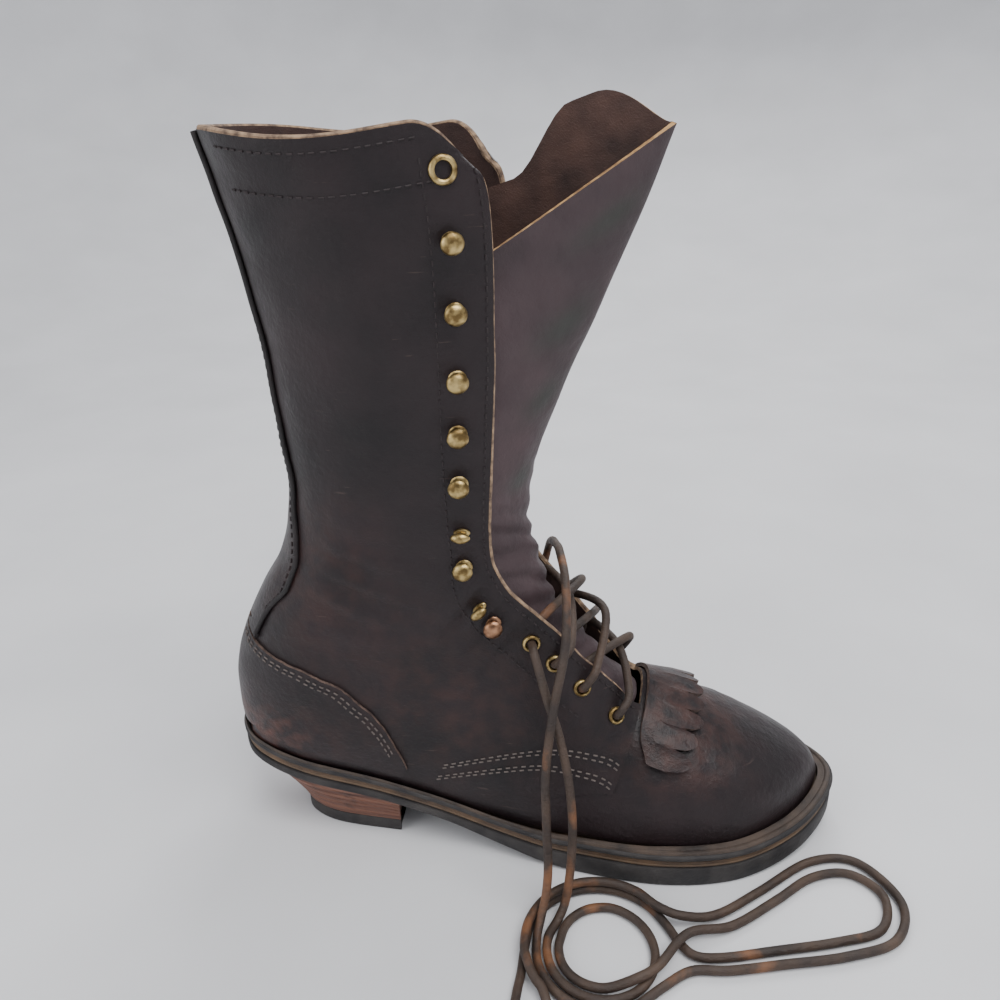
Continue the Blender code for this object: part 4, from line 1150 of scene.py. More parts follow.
def make_overlays():
    """Counter and backstay on the upper's own surface, the backstay's piping, and the upper's raw edge."""
    backstay_seam = seam_row(BACKSTAY_SEAM)
    for name, node, rows, start, stop, seam, columns in (
        ("counter_leather", "counter", counter_rows(), counter_start, counter_stop, COUNTER_SEAM_ROW, 24),
        ("backstay_leather", "backstay", backstay_rows(), backstay_start, backstay_stop, backstay_seam, 14),
    ):
        points, faces = overlay_net(rows, start, stop, seam, columns)
        found, wall, kinds = shell(points, faces, OVERLAY_TOP, OVERLAY_SEAT)
        piece = mesh_piece(name, found, wall, [leather(), inside_leather(), counter_edge()], kinds)
        add_mask(piece, "wear", wear_of(found))
        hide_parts(node)
    piped = []
    raw = []
    for side in (-1, 1):
        rows = backstay_rows()
        piped.append([surface(row, side, backstay_start(row, side), PIPING_SEAT)[0] for row in rows])
        rows = np.linspace(LAP_ROW + 0.4, LAST_ROW, 220)
        raw.append([surface(row, side, throat_share(row, side), EDGE_SEAT)[0] for row in rows])
        raw[-1] += [surface(LAST_ROW, side, share, EDGE_SEAT)[0] for share in np.linspace(0.004, 1.0, 160)]
    radius = bpy.context.scene.boot_looks.piping_thickness / MM / 2.0
    piping = mesh_piece("backstay_piping", *tubes(piped, radius, 10), [dark_piping()])
    edges = mesh_piece("raw_edges", *tubes(raw, EDGE_RADIUS, 8), [collar_edge()])


TONGUE_MARKS = [
    # row, across, size
    (9.1, -0.30, 6.0),
    (8.0, -0.42, 6.0),
    (7.1, -0.38, 5.5),
    (6.1, -0.40, 5.5),
]


TONGUE_MARK_DEPTH = 0.9
# Millimetres to a row and to half the tongue's width
TONGUE_ROW_LENGTH = 26.0
TONGUE_HALF = 29.0
TONGUE_FOLD = 1.1
TONGUE_FOLD_PITCH = 0.55
TONGUE_FOLD_LEAN = 0.3
TONGUE_FOLD_SWAY = 6.0
TONGUE_FOLD_SWAY_SCALE = 0.04
TONGUE_FOLD_ROWS = (4.5, 6.8)
TONGUE_SLACK = 1.2
TONGUE_SLACK_LOW = 0.8
TONGUE_SLACK_SCALE = 0.028
TONGUE_LIFT_WAY = (0.85, 0.2)
WING_RISES = (0.0, 0.5)
WING_FALLS = (0.62, 0.88)
WING_ROWS = (7.5, 10.0)


def tongue_lift(point, low):
    """How far the tongue stands off its smooth form: folds low down, and slack."""
    sway = TONGUE_FOLD_SWAY * waver(point, TONGUE_FOLD_SWAY_SCALE)
    fold = low * math.sin((point[2] + TONGUE_FOLD_LEAN * point[1] + sway) * TONGUE_FOLD_PITCH)
    return TONGUE_FOLD * fold + (TONGUE_SLACK + TONGUE_SLACK_LOW * low) * waver(point, TONGUE_SLACK_SCALE)


def tongue_mark(row, across):
    """How strongly a hook's mark shows at a place on the tongue."""
    near = 0.0
    for at_row, at_across, size in TONGUE_MARKS:
        up = (row - at_row) * TONGUE_ROW_LENGTH / size
        aside = (across - at_across) * TONGUE_HALF / size
        near = max(near, math.exp(-up ** 2 - aside ** 2))
    return TONGUE_MARK_DEPTH * near


def make_tongue():
    """The tongue: a thick bent sheet with wrinkles low down, a suede back and a tan cut edge."""
    rows = np.linspace(0.0, len(TONGUE_ROWS) - 1.0, 111)
    across = np.linspace(-1.0, 1.0, 51)
    curves = [curve_through(np.arange(len(TONGUE_ROWS)), column(TONGUE_ROWS, n)) for n in range(7)]
    wing = smooth_step(*WING_RISES, across) * (1.0 - smooth_step(*WING_FALLS, across))
    grid = []
    for row in rows:
        values = [float(value(row)) for value in curves]
        middle_x, middle_z, edge_x, half_width, outer_z, inner_z, full = values
        blend = np.abs(across) ** full
        edge_z = np.where(across < 0.0, outer_z, inner_z)
        line = np.stack([
            middle_x + (edge_x - middle_x) * blend,
            half_width * across,
            middle_z + (edge_z - middle_z) * blend,
        ], axis=1)
        low = float(1.0 - smooth_step(*TONGUE_FOLD_ROWS, row))
        lift = np.array([tongue_lift(point, low) for point in line])
        line[:, 0] += lift * TONGUE_LIFT_WAY[0]
        line[:, 2] += lift * TONGUE_LIFT_WAY[1] + TONGUE_WING * wing * smooth_step(*WING_ROWS, row)
        grid.append(line)
    points = np.vstack(grid)
    faces, kinds = thick_sheet(len(rows), len(across))
    normals = point_normals(points, faces[: kinds.index(1)])
    front = points + normals * TONGUE_THICK / 2.0
    back = points - normals * TONGUE_THICK / 2.0
    materials = [
        tongue_leather(),
        suede("tongue_flesh", linear(52, 36, 32), linear(84, 60, 52)),
        cut_edge("tongue_edge", linear(120, 86, 52), linear(188, 148, 96)),
    ]
    tongue = mesh_piece("tongue_sheet", np.vstack([front, back]), faces, materials, kinds)
    marks = [tongue_mark(row, place) for row in rows for place in across]
    add_mask(tongue, "mark", marks + [0.0] * len(points))
    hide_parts("tongue")


def kiltie_point(row, across, lift):
    """A point off the vamp by a lift: along a section, by a signed length from the ridge."""
    side = -1 if across < 0 else 1
    shares = np.linspace(0.0, 0.75, 160)
    spots = []
    for at_row in (row - 0.15, row, row + 0.15):
        points = section(at_row, side, shares)
        length = lengths_along(points)
        for out in (abs(across), abs(across) + 2.0):
            spots.append(np.array([np.interp(out, length, points[:, n]) for n in range(3)]))
    along = spots[4] - spots[0]
    outward = spots[3] - spots[2]
    normal = np.cross(outward, along) if side > 0 else np.cross(along, outward)
    return spots[2] + unit(normal) * lift


KILTIE_LOBE = 0.45
KILTIE_NOTCH_FROM = 0.45
KILTIE_SWEEP = 0.45
KILTIE_UNEVEN = 0.10
KILTIE_CURL = 1.2
KILTIE_LEAST_CURL = -0.4
KILTIE_SEAT = 0.9
KILTIE_SPRING = 0.7
KILTIE_WEAR = 0.4


def make_kiltie():
    """The fringed false tongue on the vamp, with rounded teeth that curl up a little."""
    across = np.linspace(-1.0, 1.0, KILTIE_TEETH * 10 + 1)
    shares = np.linspace(0.0, 1.0, 26)
    steps = np.linspace(0.0, 1.0, len(KILTIE_ROWS))
    rows_at = curve_through(steps, column(KILTIE_ROWS, 0))
    half_at = curve_through(steps, column(KILTIE_ROWS, 1))
    tops = []
    unders = []
    for share in shares:
        for a in across:
            lobe = abs(math.sin(math.pi * KILTIE_TEETH * (a + 1.0) / 2.0)) ** KILTIE_LOBE
            notch = KILTIE_TOOTH * (1.0 - lobe) * smooth_step(KILTIE_NOTCH_FROM, 1.0, share)
            row = float(rows_at(share)) + KILTIE_SWEEP * a * a * share + float(notch)
            row += KILTIE_UNEVEN * share * waver((a * 6.0, 2.0, 0.0), 1.0)
            spread = float(half_at(share)) * a
            curl = KILTIE_CURL * share ** 3 * (0.6 + waver((a * 5.0, share * 2.0, 3.0), 1.0))
            lift = KILTIE_SEAT + KILTIE_SPRING * share ** 2 + max(curl, KILTIE_LEAST_CURL)
            unders.append(kiltie_point(row, spread, lift))
            tops.append(kiltie_point(row, spread, lift + KILTIE_THICK))
    faces, kinds = thick_sheet(len(shares), len(across))
    points = np.array(tops + unders)
    kiltie = mesh_piece("kiltie_leather", points, faces, [leather(), inside_leather(), counter_edge()], kinds)
    add_mask(kiltie, "wear", np.full(len(points), KILTIE_WEAR))
    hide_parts("kiltie")


def with_height(points, heights):
    return np.column_stack([points, np.broadcast_to(heights, len(points))])


def stacked(levels, halfway):
    """Points and faces of a plate from closed outlines one above another, capped by strips across."""
    count = len(levels[0])
    faces = ring_faces(len(levels), count)
    for base in (0, (len(levels) - 1) * count):
        for k in range(halfway):
            faces.append(tuple(base + n for n in (k, k + 1, (count - k - 1) % count, (count - k) % count)))
    return np.vstack(levels), faces


SOLE_SPAN = 10
WELT_SHAPE = [
    # share of the width, share of the height
    (0.18, 0.0),
    (0.14, 0.55),
    (0.16, 0.80),
    (0.24, 0.96),
    (0.40, 1.0),
    (0.48, 0.94),
    (0.54, 0.80),
    (0.62, 0.78),
    (0.70, 0.84),
    (1.0, 0.84),
    (1.0, 0.0),
]
# Rounds along the edge: inset, height above the plate under it, radius, sides
PALE_LINE = (1.1, 1.4, 0.55, 6)
BEAD = (1.0, 1.7, 1.5, 10)


def sole_plate(levels):
    """Points and faces of a plate in the sole's outline. A level is an inset and the heights along it."""
    rings = [with_height(outline(SOLE_SPAN, inset), heights) for inset, heights in levels]
    return stacked(rings, TOE_POINT * SOLE_SPAN)


def ring_round_sole(profile_of):
    """Points and faces of a ring along the sole's outline, from the inset and height pairs at each x."""
    full = outline(SOLE_SPAN, 0.0)
    inward = outline(SOLE_SPAN, 1.0) - full
    points = []
    for k in range(len(full)):
        for inset, height in profile_of(full[k, 0]):
            points.append((*(full[k] + inward[k] * inset), height))
    return points, ring_faces(len(full), len(profile_of(0.0)), closed=True)


def round_on_sole(top_of, shape):
    """Points and faces of a round bar along the sole's outline, on the plate whose top is given."""
    inset, above, radius, sides = shape

    def profile(at):
        middle = float(top_of(at)) + GAP + above
        turns = [2.0 * math.pi * n / sides for n in range(sides)]
        return [(inset + radius * math.cos(turn), middle + radius * math.sin(turn)) for turn in turns]

    return ring_round_sole(profile)


def welt_profile(at):
    bottom = float(midsole_top(at)) + GAP
    width = float(welt_width(at)) - float(welt_overhung(at))
    return [(share * width, bottom + height * WELT_HEIGHT) for share, height in WELT_SHAPE]


def make_sole():
    """Outsole, midsole with its pale line, and the welt with its groove and black bead."""
    x = outline(SOLE_SPAN, 0.0)[:, 0]
    low = underside(x)
    top = outsole_top(x)
    levels = [(1.6, low), (0.5, low + 0.4), (0.0, low + 1.3), (0.0, top - 1.2), (0.4, top - 0.3), (1.2, top)]
    outsole = mesh_piece("outsole_rubber", *sole_plate(levels), [rubber()])
    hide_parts("outsole")
    base = top + GAP
    levels = [(1.4, base), (0.9, base + 0.5), (0.8, base + MIDSOLE - 0.5), (1.3, base + MIDSOLE)]
    brown = edge_leather("midsole_leather", linear(58, 44, 34), linear(98, 76, 56))
    midsole = mesh_piece("midsole_edge", *sole_plate(levels), [brown])
    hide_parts("midsole")
    pale = edge_leather("midsole_line", linear(78, 62, 48), linear(108, 88, 68))
    line = mesh_piece("midsole_pale_line", *round_on_sole(outsole_top, PALE_LINE), [pale])
    worn = edge_leather("welt_leather", linear(42, 35, 32), linear(80, 67, 58))
    welt = mesh_piece("welt_strip", *ring_round_sole(welt_profile), [worn])
    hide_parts("welt")
    bead = mesh_piece("welt_bead", *round_on_sole(midsole_top, BEAD), [rubber()])


def heel_outline(points):
    """The heel's outline: a smooth curve round the back and a hollow breast between two corners."""
    points = np.asarray(points, float)
    back = np.vstack([points[HEEL_CORNERS[1]:], points[: HEEL_CORNERS[0] + 1]])
    breast = points[HEEL_CORNERS[0]: HEEL_CORNERS[1] + 1]
    run = np.vstack([through(back, HEEL_SPAN)[:-1], through(breast, HEEL_SPAN)[:-1]])
    start = (len(points) - HEEL_CORNERS[1]) * HEEL_SPAN
    return np.roll(run, -start, axis=0)


HEEL_SPAN = 10
HEEL_MIDDLE = np.array([58.0, 0.0])
HEEL_TAPER = 1.25
HEEL_LIFTS = 6
LIFT_GROOVE = 0.35
# Levels of one lift: share of its height, share of the groove
LIFT_LEVELS = [(0.0, 1.0), (0.1, 0.0), (0.5, 0.0), (0.9, 0.0)]
# Levels of the rubber lift: height, size
RUBBER_LEVELS = [(0.0, 0.965), (0.3, 0.985), (1.0, 1.0), (TOP_LIFT - 0.6, 1.0), (TOP_LIFT, 0.985)]


def make_heel():
    """The stacked leather heel with a line between its lifts, and the rubber lift under it."""
    seat = heel_outline(HEEL_TOP)
    floor = heel_outline(HEEL_FLOOR)
    halfway = (HEEL_CORNERS[0] + 1) * HEEL_SPAN
    top = underside(seat[:, 0]) - GAP
    levels = []
    for lift in range(HEEL_LIFTS):
        for part, groove in LIFT_LEVELS:
            share = (lift + part) / HEEL_LIFTS
            height = TOP_LIFT + GAP + (top - TOP_LIFT - GAP) * share
            level = floor + (seat - floor) * share ** HEEL_TAPER
            inward = unit(HEEL_MIDDLE - level)
            levels.append(with_height(level + inward * groove * LIFT_GROOVE, height))
    levels.append(with_height(seat, top))
    stack = mesh_piece("heel_lifts", *stacked(levels, halfway), [stacked_leather()], smooth_angle=30.0)
    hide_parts("heel_stack")
    levels = []
    for height, size in RUBBER_LEVELS:
        levels.append(with_height(HEEL_MIDDLE + (floor - HEEL_MIDDLE) * size, height))
    lift = mesh_piece("heel_rubber", *stacked(levels, halfway), [rubber()])
    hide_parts("top_lift")


def turned(profile, steps, place, stretch=(1.0, 1.0), lean=0.0):
    """Points and faces of a body turned about the out axis of a place, from radius and height pairs."""
    centre, out, along, across = place
    third = np.cross(out, along)
    points = []
    for radius, height in profile:
        for n in range(steps):
            angle = 2.0 * math.pi * n / steps
            side_way = radius * (math.cos(angle) * stretch[0] * along + math.sin(angle) * stretch[1] * third)
            points.append(centre + side_way + out * height + across * lean * max(height, 0.0))
    if profile[0] == profile[-1]:
        return points[: -steps], ring_faces(len(profile) - 1, steps, closed=True)
    return points, capped(len(profile), steps)


# Turned bodies: radius, height
EYELET_RING = [
    (2.5, -1.6), (2.4, 0.6), (2.6, 1.3), (3.1, 1.65), (3.7, 1.5), (4.1, 1.0),
    (4.25, 0.35), (4.2, 0.1), (3.1, 0.1), (3.0, -1.6), (2.5, -1.6),
]
HOOK_PROFILE = [
    (3.5, 0.1), (3.6, 0.5), (3.2, 1.0), (2.0, 1.2), (1.8, 2.2), (1.9, 3.4), (2.8, 4.0),
    (3.9, 4.3), (4.2, 4.8), (4.0, 5.4), (3.2, 6.2), (1.8, 6.8), (0.6, 7.0),
]
EYELET_STEPS = 36
HOOK_STEPS = 28
TOP_EYELET_SIZE = 1.25
HOOK_STRETCH = (1.0, 1.06)
BENT_STRETCH = (0.55, 1.0)
HOOK_LEAN = 0.12


def make_hardware():
    """Eyelets and speed hooks of both facings, set on the leather."""
    for side, word in ((-1, "lateral"), (1, "medial")):
        for n, height in enumerate(EYELET_HEIGHTS + [TOP_EYELET_HEIGHT]):
            top = n == len(EYELET_HEIGHTS)
            place = on_facing(height, side, SHAFT_SETBACK if top else SETBACK, LAP)
            size = TOP_EYELET_SIZE if top else 1.0
            ring = [(radius * size, level) for radius, level in EYELET_RING]
            piece = mesh_piece(f"brass_eyelet_{word}_{n + 1}", *turned(ring, EYELET_STEPS, place), [brass()])
            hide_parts(f"eyelet_{word}_{n + 1}")
        for n, height in enumerate(HOOK_HEIGHTS):
            place = on_facing(height, side, SHAFT_SETBACK, LAP)
            material = brass()
            if n + 1 == COPPER_HOOK:
                material = metal("worn_copper", linear(112, 82, 62), linear(178, 136, 106))
            stretch = BENT_STRETCH if n + 1 in BENT_HOOKS else HOOK_STRETCH
            points, faces = turned(HOOK_PROFILE, HOOK_STEPS, place, stretch, HOOK_LEAN)
            piece = mesh_piece(f"brass_hook_{word}_{n + 1}", points, faces, [material])
            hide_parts(f"hook_{word}_{n + 1}")


THREAD_SEAT = 0.15
ON_QUARTER = LAP + THREAD_SEAT
ON_OVERLAY = OVERLAY_TOP + THREAD_SEAT
STITCH_STEP = 0.5
# Lines of thread, as lengths from the edge that each follows
FACING_LINES = [
    # from the edge, rows above the throat's end, rows below the collar
    (3.0, 0.2, 0.4),
    (23.0, 1.6, 0.5),
]
COLLAR_LINES = (5.0, 20.0)
COUNTER_LINES = (3.0, 5.6)
COUNTER_LINE_FROM = 12.6
BACKSTAY_LINE = 3.2
BAND_LINES = (2.6, 5.0, 12.0, 14.4)
BAND_ARCH = 14.0


def stitches(paths):
    """Points and faces of short raised stitches along paths on the leather."""
    looks = bpy.context.scene.boot_looks
    stitch = looks.stitch_length / MM
    spans = []
    for path in paths:
        path = by_length(path, STITCH_STEP)
        length = STITCH_STEP * (len(path) - 1)
        start = 0.0
        while start + stitch < length:
            first = int(start / STITCH_STEP)
            span = path[first: first + int(stitch / STITCH_STEP) + 1: 2]
            if len(span) > 2:
                spans.append(span)
            start += stitch + looks.stitch_gap / MM
    return tubes(spans, looks.stitch_thickness / MM / 2.0, 5)


def facing_path(side, back, low, high):
    """A line a length behind the facing's edge."""
    rows = np.linspace(low, high, 140)
    return [surface(row, side, share_behind(row, side, back), ON_QUARTER)[0] for row in rows]


def band_path(side, above):
    """A line a length above the quarter's lower front edge, from the throat's end back along the foot."""
    path = []
    rows = np.linspace(LAP_ROW + 0.12, LAP_END + 0.6, 60)
    for row, arch in zip(rows, BAND_ARCH * np.sin(np.linspace(0.0, math.pi, len(rows)))):
        shares, length = section_length(row, side, throat_share(max(row, LAP_ROW), side))
        edge = float(np.interp(float(lap_share(row)), shares, length))
        share = float(np.interp(edge - above - arch, length, shares))
        path.append(surface(row, side, share, ON_QUARTER)[0])
    return path


def collar_path(side, below):
    """A line a length below the collar."""
    rows = np.linspace(LAST_ROW - 2.0, LAST_ROW, 60)
    path = []
    for share in np.linspace(0.16, 0.86, 80):
        spots = np.array([section(row, side, [share])[0] for row in rows])
        drop = np.linalg.norm(spots - spots[-1], axis=1)
        row = float(np.interp(below, drop[::-1], rows[::-1]))
        path.append(surface(row, side, share, ON_QUARTER)[0])
    return path


def overlay_path(side, rows, start, stop, inset):
    """A line a length inside the front edge of the counter or the backstay."""
    path = []
    for row in rows:
        shares, length = section_length(row, side, start(row, side))
        farthest = float(np.interp(stop(row, side) - 0.005, shares, length))
        share = float(np.interp(min(inset, farthest), length, shares))
        path.append(surface(row, side, share, ON_OVERLAY)[0])
    return path


def make_stitching():
    """Dark thread along facings, collar and backstay, pale thread on the counter and the quarter's band."""
    counter_high = seam_row(COUNTER_SEAM_TOP) - 0.15
    counter_part = [row for row in counter_rows() if COUNTER_LINE_FROM < row < counter_high]
    backstay_part = [row for row in backstay_rows() if row > seam_row(BACKSTAY_SEAM)]
    dark = []
    pale = []
    for side in (-1, 1):
        dark += [facing_path(side, back, LAP_ROW + low, LAST_ROW - high) for back, low, high in FACING_LINES]
        dark += [collar_path(side, below) for below in COLLAR_LINES]
        for inset in COUNTER_LINES:
            pale.append(overlay_path(side, counter_part, counter_start, counter_stop, inset))
        dark.append(overlay_path(side, backstay_part, backstay_start, backstay_stop, BACKSTAY_LINE))
        pale += [band_path(side, above) for above in BAND_LINES]
    dark_colour = linear(34, 26, 27)
    pale_colour = linear(86, 78, 74)
    for name, paths, colour in (("stitching_dark", dark, dark_colour), ("stitching_pale", pale, pale_colour)):
        piece = mesh_piece(name, *stitches(paths), [thread(name, colour)])


LACE_STEP = 1.6


def spiral(first, last, start, stop, low, high):
    """Points of the lace round the coil, between two radii, two angles in degrees and two heights."""
    angles = np.radians(np.linspace(start, stop, max(4, int(abs(stop - start) / 18.0))))
    radii = np.linspace(first, last, len(angles))
    heights = np.linspace(low, high, len(angles))
    return np.column_stack([COIL_X + radii * np.cos(angles), COIL_Y + radii * np.sin(angles), heights])


def on_floor(pairs):
    return with_height(pairs, FLOOR_LACE)


def turns_of(table):
    return np.vstack([spiral(*turn) for turn in table])


def lace_path(parts):
    return by_length(through(np.vstack(parts), 8), LACE_STEP)


def lace_curve(name, path):
    """A lace as a curve with a round section."""
    curve = bpy.data.curves.new(name, "CURVE")
    curve.dimensions = "3D"
    curve.bevel_depth = bpy.context.scene.boot_looks.lace_thickness / 2.0
    curve.bevel_resolution = 4
    curve.use_fill_caps = True
    spline = curve.splines.new("POLY")
    spline.points.add(len(path) - 1)
    for target, point in zip(spline.points, to_frame(path)):
        target.co = (*point, 1.0)
    curve.materials.append(lace_material())
    obj = bpy.data.objects.new(name, curve)
    bpy.context.scene.collection.objects.link(obj)
    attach(obj, BODY)
    return obj


def make_free_laces():
    """The two free ends: down to the floor, round the coil, out along the loop and back to a bare end."""
    lateral = lace_path([
        END_LATERAL,
        turns_of(COIL_LATERAL),
        OVER_COIL,
        on_floor(LOOP_OUTER),
        turns_of(BACK_LATERAL),
        on_floor(TAIL_LATERAL),
    ])
    medial = lace_path([
        END_MEDIAL,
        turns_of(COIL_MEDIAL),
        on_floor(LOOP_INNER),
        ONTO_COIL,
        turns_of(BACK_MEDIAL),
        on_floor(TAIL_MEDIAL),
    ])
    lateral_nodes = ("lace_end_lateral", "lace_loop_outer", "lace_tail_lateral", "lace_coil")
    medial_nodes = ("lace_end_medial", "lace_loop_inner", "lace_tail_medial")
    for name, path, nodes in (
        ("lace_free_lateral", lateral, lateral_nodes),
        ("lace_free_medial", medial, medial_nodes),
    ):
        cord = lace_curve(name, path)
        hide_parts(*nodes)


LACE_OVER = LAP + 3.4
LACE_UNDER = -WALL - 2.4
LACE_IN_HOLE = LAP + 1.0
# How high each run arches over the throat
LATERAL_ARCH = 7.0
MEDIAL_ARCH = 15.0
ARCH_WAY = np.array([0.7, 0.0, 0.7])


def make_laced_runs():
    """The laced part: out of an eyelet, over the throat, under the other facing, out of its next eyelet."""
    last = len(EYELET_HEIGHTS) - 1
    for start, word, arch in ((-1, "lateral", LATERAL_ARCH), (1, "medial", MEDIAL_ARCH)):
        route = [on_facing(EYELET_HEIGHTS[0], start, SETBACK, LACE_UNDER)[0]]
        for n in range(last + 1):
            side = start if n % 2 == 0 else -start
            height = EYELET_HEIGHTS[n]
            route.append(on_facing(height, side, SETBACK, LACE_IN_HOLE)[0])
            if n == last:
                route.append(on_facing(height, side, SETBACK, LACE_OVER)[0])
                break
            route.append(on_facing(height, side, SETBACK - 4.0, LACE_OVER)[0])
            over = on_facing(height, side, -1.0, LACE_OVER)[0]
            under = on_facing(EYELET_HEIGHTS[n + 1], -side, -1.5, LACE_UNDER)[0]
            route += [over, (over + under) / 2.0 + arch * ARCH_WAY, under]
            for back in (SETBACK - 3.0, SETBACK):
                route.append(on_facing(EYELET_HEIGHTS[n + 1], -side, back, LACE_UNDER)[0])
        path = lace_path(route)
        points, faces = tube_mesh(path, bpy.context.scene.boot_looks.lace_thickness / MM / 2.0, 12)
        run = mesh_piece(f"lace_laced_{word}", points, faces, [lace_material()])
        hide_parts(f"lace_run_{word}")


def make_camera():
    data = bpy.data.cameras.new("photo_camera")
    data.lens = CAMERA_LENS
    data.sensor_width = CAMERA_SENSOR
    camera = bpy.data.objects.new("photo_camera", data)
    right = Vector(CAMERA_RIGHT).normalized()
    down = Vector(CAMERA_DOWN).normalized()
    forward = right.cross(down)
    turn = Matrix((right, -down, -forward)).transposed().to_4x4()
    camera.matrix_world = Matrix.Translation(Vector(to_frame(CAMERA_PLACE))) @ turn
    bpy.context.scene.collection.objects.link(camera)
    bpy.context.scene.camera = camera


FLOOR_FLAT = 0.9
FLOOR_BEND = 1.4
FLOOR_STEPS = 64


def make_floor():
    """A plain pale floor that curves up far out on every side."""
    shader = Shader("pale_floor")
    base = shader.two_tone(8.0, 4.0, 0.3, 0.7, linear(216, 216, 218), linear(224, 224, 226))
    floor_material = shader.finish(base, 0.75, 0.85)
    turns = [2.0 * math.pi * n / FLOOR_STEPS for n in range(FLOOR_STEPS)]
    bends = [math.radians(angle) for angle in range(0, 91, 6)]
    points = []
    for bend in bends:
        radius = FLOOR_FLAT + FLOOR_BEND * math.sin(bend)
        height = FLOOR_BEND - FLOOR_BEND * math.cos(bend)
        points += [(radius * math.cos(turn), radius * math.sin(turn), height) for turn in turns]
    faces = [tuple(range(FLOOR_STEPS))]
    faces += [face[::-1] for face in ring_faces(len(bends), FLOOR_STEPS)]
    mesh = bpy.data.meshes.new("floor")
    mesh.from_pydata(points, [], faces)
    mesh.materials.append(floor_material)
    mesh.polygons.foreach_set("use_smooth", [True] * len(faces))
    floor = bpy.data.objects.new("floor", mesh)
    bpy.context.scene.collection.objects.link(floor)


LIGHT_AIM = (0.0, 0.0, 0.15)
LIGHTS = [
    # name, place, size, power
    ("key", (0.5, -0.5, 1.6), 1.2, 26.0),
    ("fill", (-1.2, -0.9, 0.9), 1.2, 10.0),
    ("back", (0.2, 1.2, 1.3), 1.0, 14.0),
]
SKY_COLOUR = (0.9, 0.93, 1.0, 1.0)
SKY_STRENGTH = 0.45


def make_lights():
    for name, place, size, power in LIGHTS:
        data = bpy.data.lights.new(name, "AREA")
        data.energy = power
        data.size = size
        lamp = bpy.data.objects.new(name, data)
        lamp.location = place
        lamp.rotation_mode = "QUATERNION"
        lamp.rotation_quaternion = (Vector(LIGHT_AIM) - Vector(place)).to_track_quat("-Z", "Y")
        bpy.context.scene.collection.objects.link(lamp)
    world = bpy.data.worlds.new("studio")
    world.use_nodes = True
    sky = world.node_tree.nodes["Background"]
    sky.inputs["Color"].default_value = SKY_COLOUR
    sky.inputs["Strength"].default_value = SKY_STRENGTH
    bpy.context.scene.world = world


def dress_insole():
    """The insole keeps its solid and takes a worn leather finish."""
    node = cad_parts["insole"]
    node.data.materials.clear()
    node.data.materials.append(edge_leather("insole_leather", linear(70, 52, 42), linear(112, 84, 62)))


class BootLooks(bpy.types.PropertyGroup):
    """Values that change the looks of the whole boot"""

    crease_depth: bpy.props.FloatProperty(
        name="Creases", description="Depth of the folds and flex lines", default=1.0, min=0.0, max=2.0,
        subtype="FACTOR")
    stitch_length: bpy.props.FloatProperty(
        name="Stitch", description="Length of one stitch", default=0.0029, unit="LENGTH", precision=4)
    stitch_gap: bpy.props.FloatProperty(
        name="Stitch gap", description="Gap between stitches", default=0.0009, unit="LENGTH", precision=4)
    stitch_thickness: bpy.props.FloatProperty(
        name="Thread", description="Thickness of the thread", default=0.00084, unit="LENGTH", precision=5)
    piping_thickness: bpy.props.FloatProperty(
        name="Piping", description="Thickness of the piping on the backstay", default=0.0024, unit="LENGTH",
        precision=4)
    lace_thickness: bpy.props.FloatProperty(
        name="Lace", description="Thickness of the lace", default=0.004, unit="LENGTH", precision=4)


class BOOT_OT_stage(bpy.types.Operator):
    """Make the camera, the floor and the lights"""

    bl_idname = "boot.stage"
    bl_label = "Stage"

    def execute(self, context):
        make_camera()
        make_floor()
        make_lights()
        return {"FINISHED"}


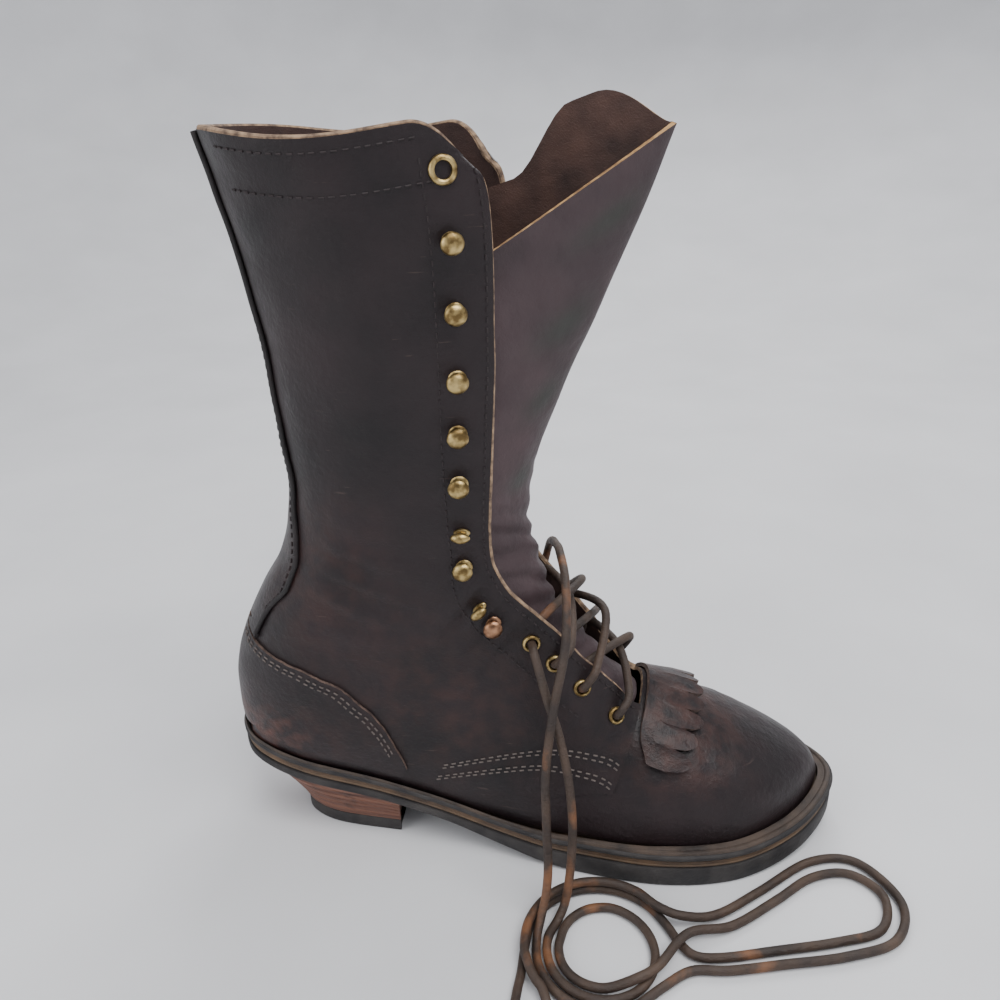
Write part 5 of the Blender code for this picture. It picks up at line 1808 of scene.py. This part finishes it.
class BOOT_OT_laces(bpy.types.Operator):
    """Make the free ends of the lace and its laced part"""

    bl_idname = "boot.laces"
    bl_label = "Laces"

    def execute(self, context):
        make_free_laces()
        make_laced_runs()
        return {"FINISHED"}


class BOOT_OT_upper(bpy.types.Operator):
    """Make the upper with its creases, counter and backstay"""

    bl_idname = "boot.upper"
    bl_label = "Upper"

    def execute(self, context):
        make_upper()
        make_overlays()
        return {"FINISHED"}


class BOOT_OT_tongue(bpy.types.Operator):
    """Make the tongue and the kiltie"""

    bl_idname = "boot.tongue"
    bl_label = "Tongue and kiltie"

    def execute(self, context):
        make_tongue()
        make_kiltie()
        return {"FINISHED"}


class BOOT_OT_sole(bpy.types.Operator):
    """Make the sole, the welt and the heel"""

    bl_idname = "boot.sole"
    bl_label = "Sole and heel"

    def execute(self, context):
        make_sole()
        make_heel()
        dress_insole()
        return {"FINISHED"}


class BOOT_OT_hardware(bpy.types.Operator):
    """Make the eyelets, the hooks and the stitching"""

    bl_idname = "boot.hardware"
    bl_label = "Hardware and stitching"

    def execute(self, context):
        make_hardware()
        make_stitching()
        return {"FINISHED"}


class BOOT_PT_panel(bpy.types.Panel):
    """Buttons for each step"""

    bl_idname = "BOOT_PT_panel"
    bl_label = "Boot"
    bl_space_type = "VIEW_3D"
    bl_region_type = "UI"
    bl_category = "Boot"

    def draw(self, context):
        for name in BootLooks.__annotations__:
            self.layout.prop(context.scene.boot_looks, name)
        for step in STEPS:
            self.layout.operator(step.bl_idname)


STEPS = (BOOT_OT_stage, BOOT_OT_laces, BOOT_OT_upper, BOOT_OT_tongue, BOOT_OT_sole, BOOT_OT_hardware)


def register():
    for item in (BootLooks, *STEPS, BOOT_PT_panel):
        bpy.utils.register_class(item)
    bpy.types.Scene.boot_looks = bpy.props.PointerProperty(type=BootLooks)


def unregister():
    del bpy.types.Scene.boot_looks
    for item in reversed((BootLooks, *STEPS, BOOT_PT_panel)):
        bpy.utils.unregister_class(item)


def main():
    register()
    bpy.ops.boot.stage()
    bpy.ops.boot.laces()
    bpy.ops.boot.upper()
    bpy.ops.boot.tongue()
    bpy.ops.boot.sole()
    bpy.ops.boot.hardware()


if __name__ == "__main__":
    main()
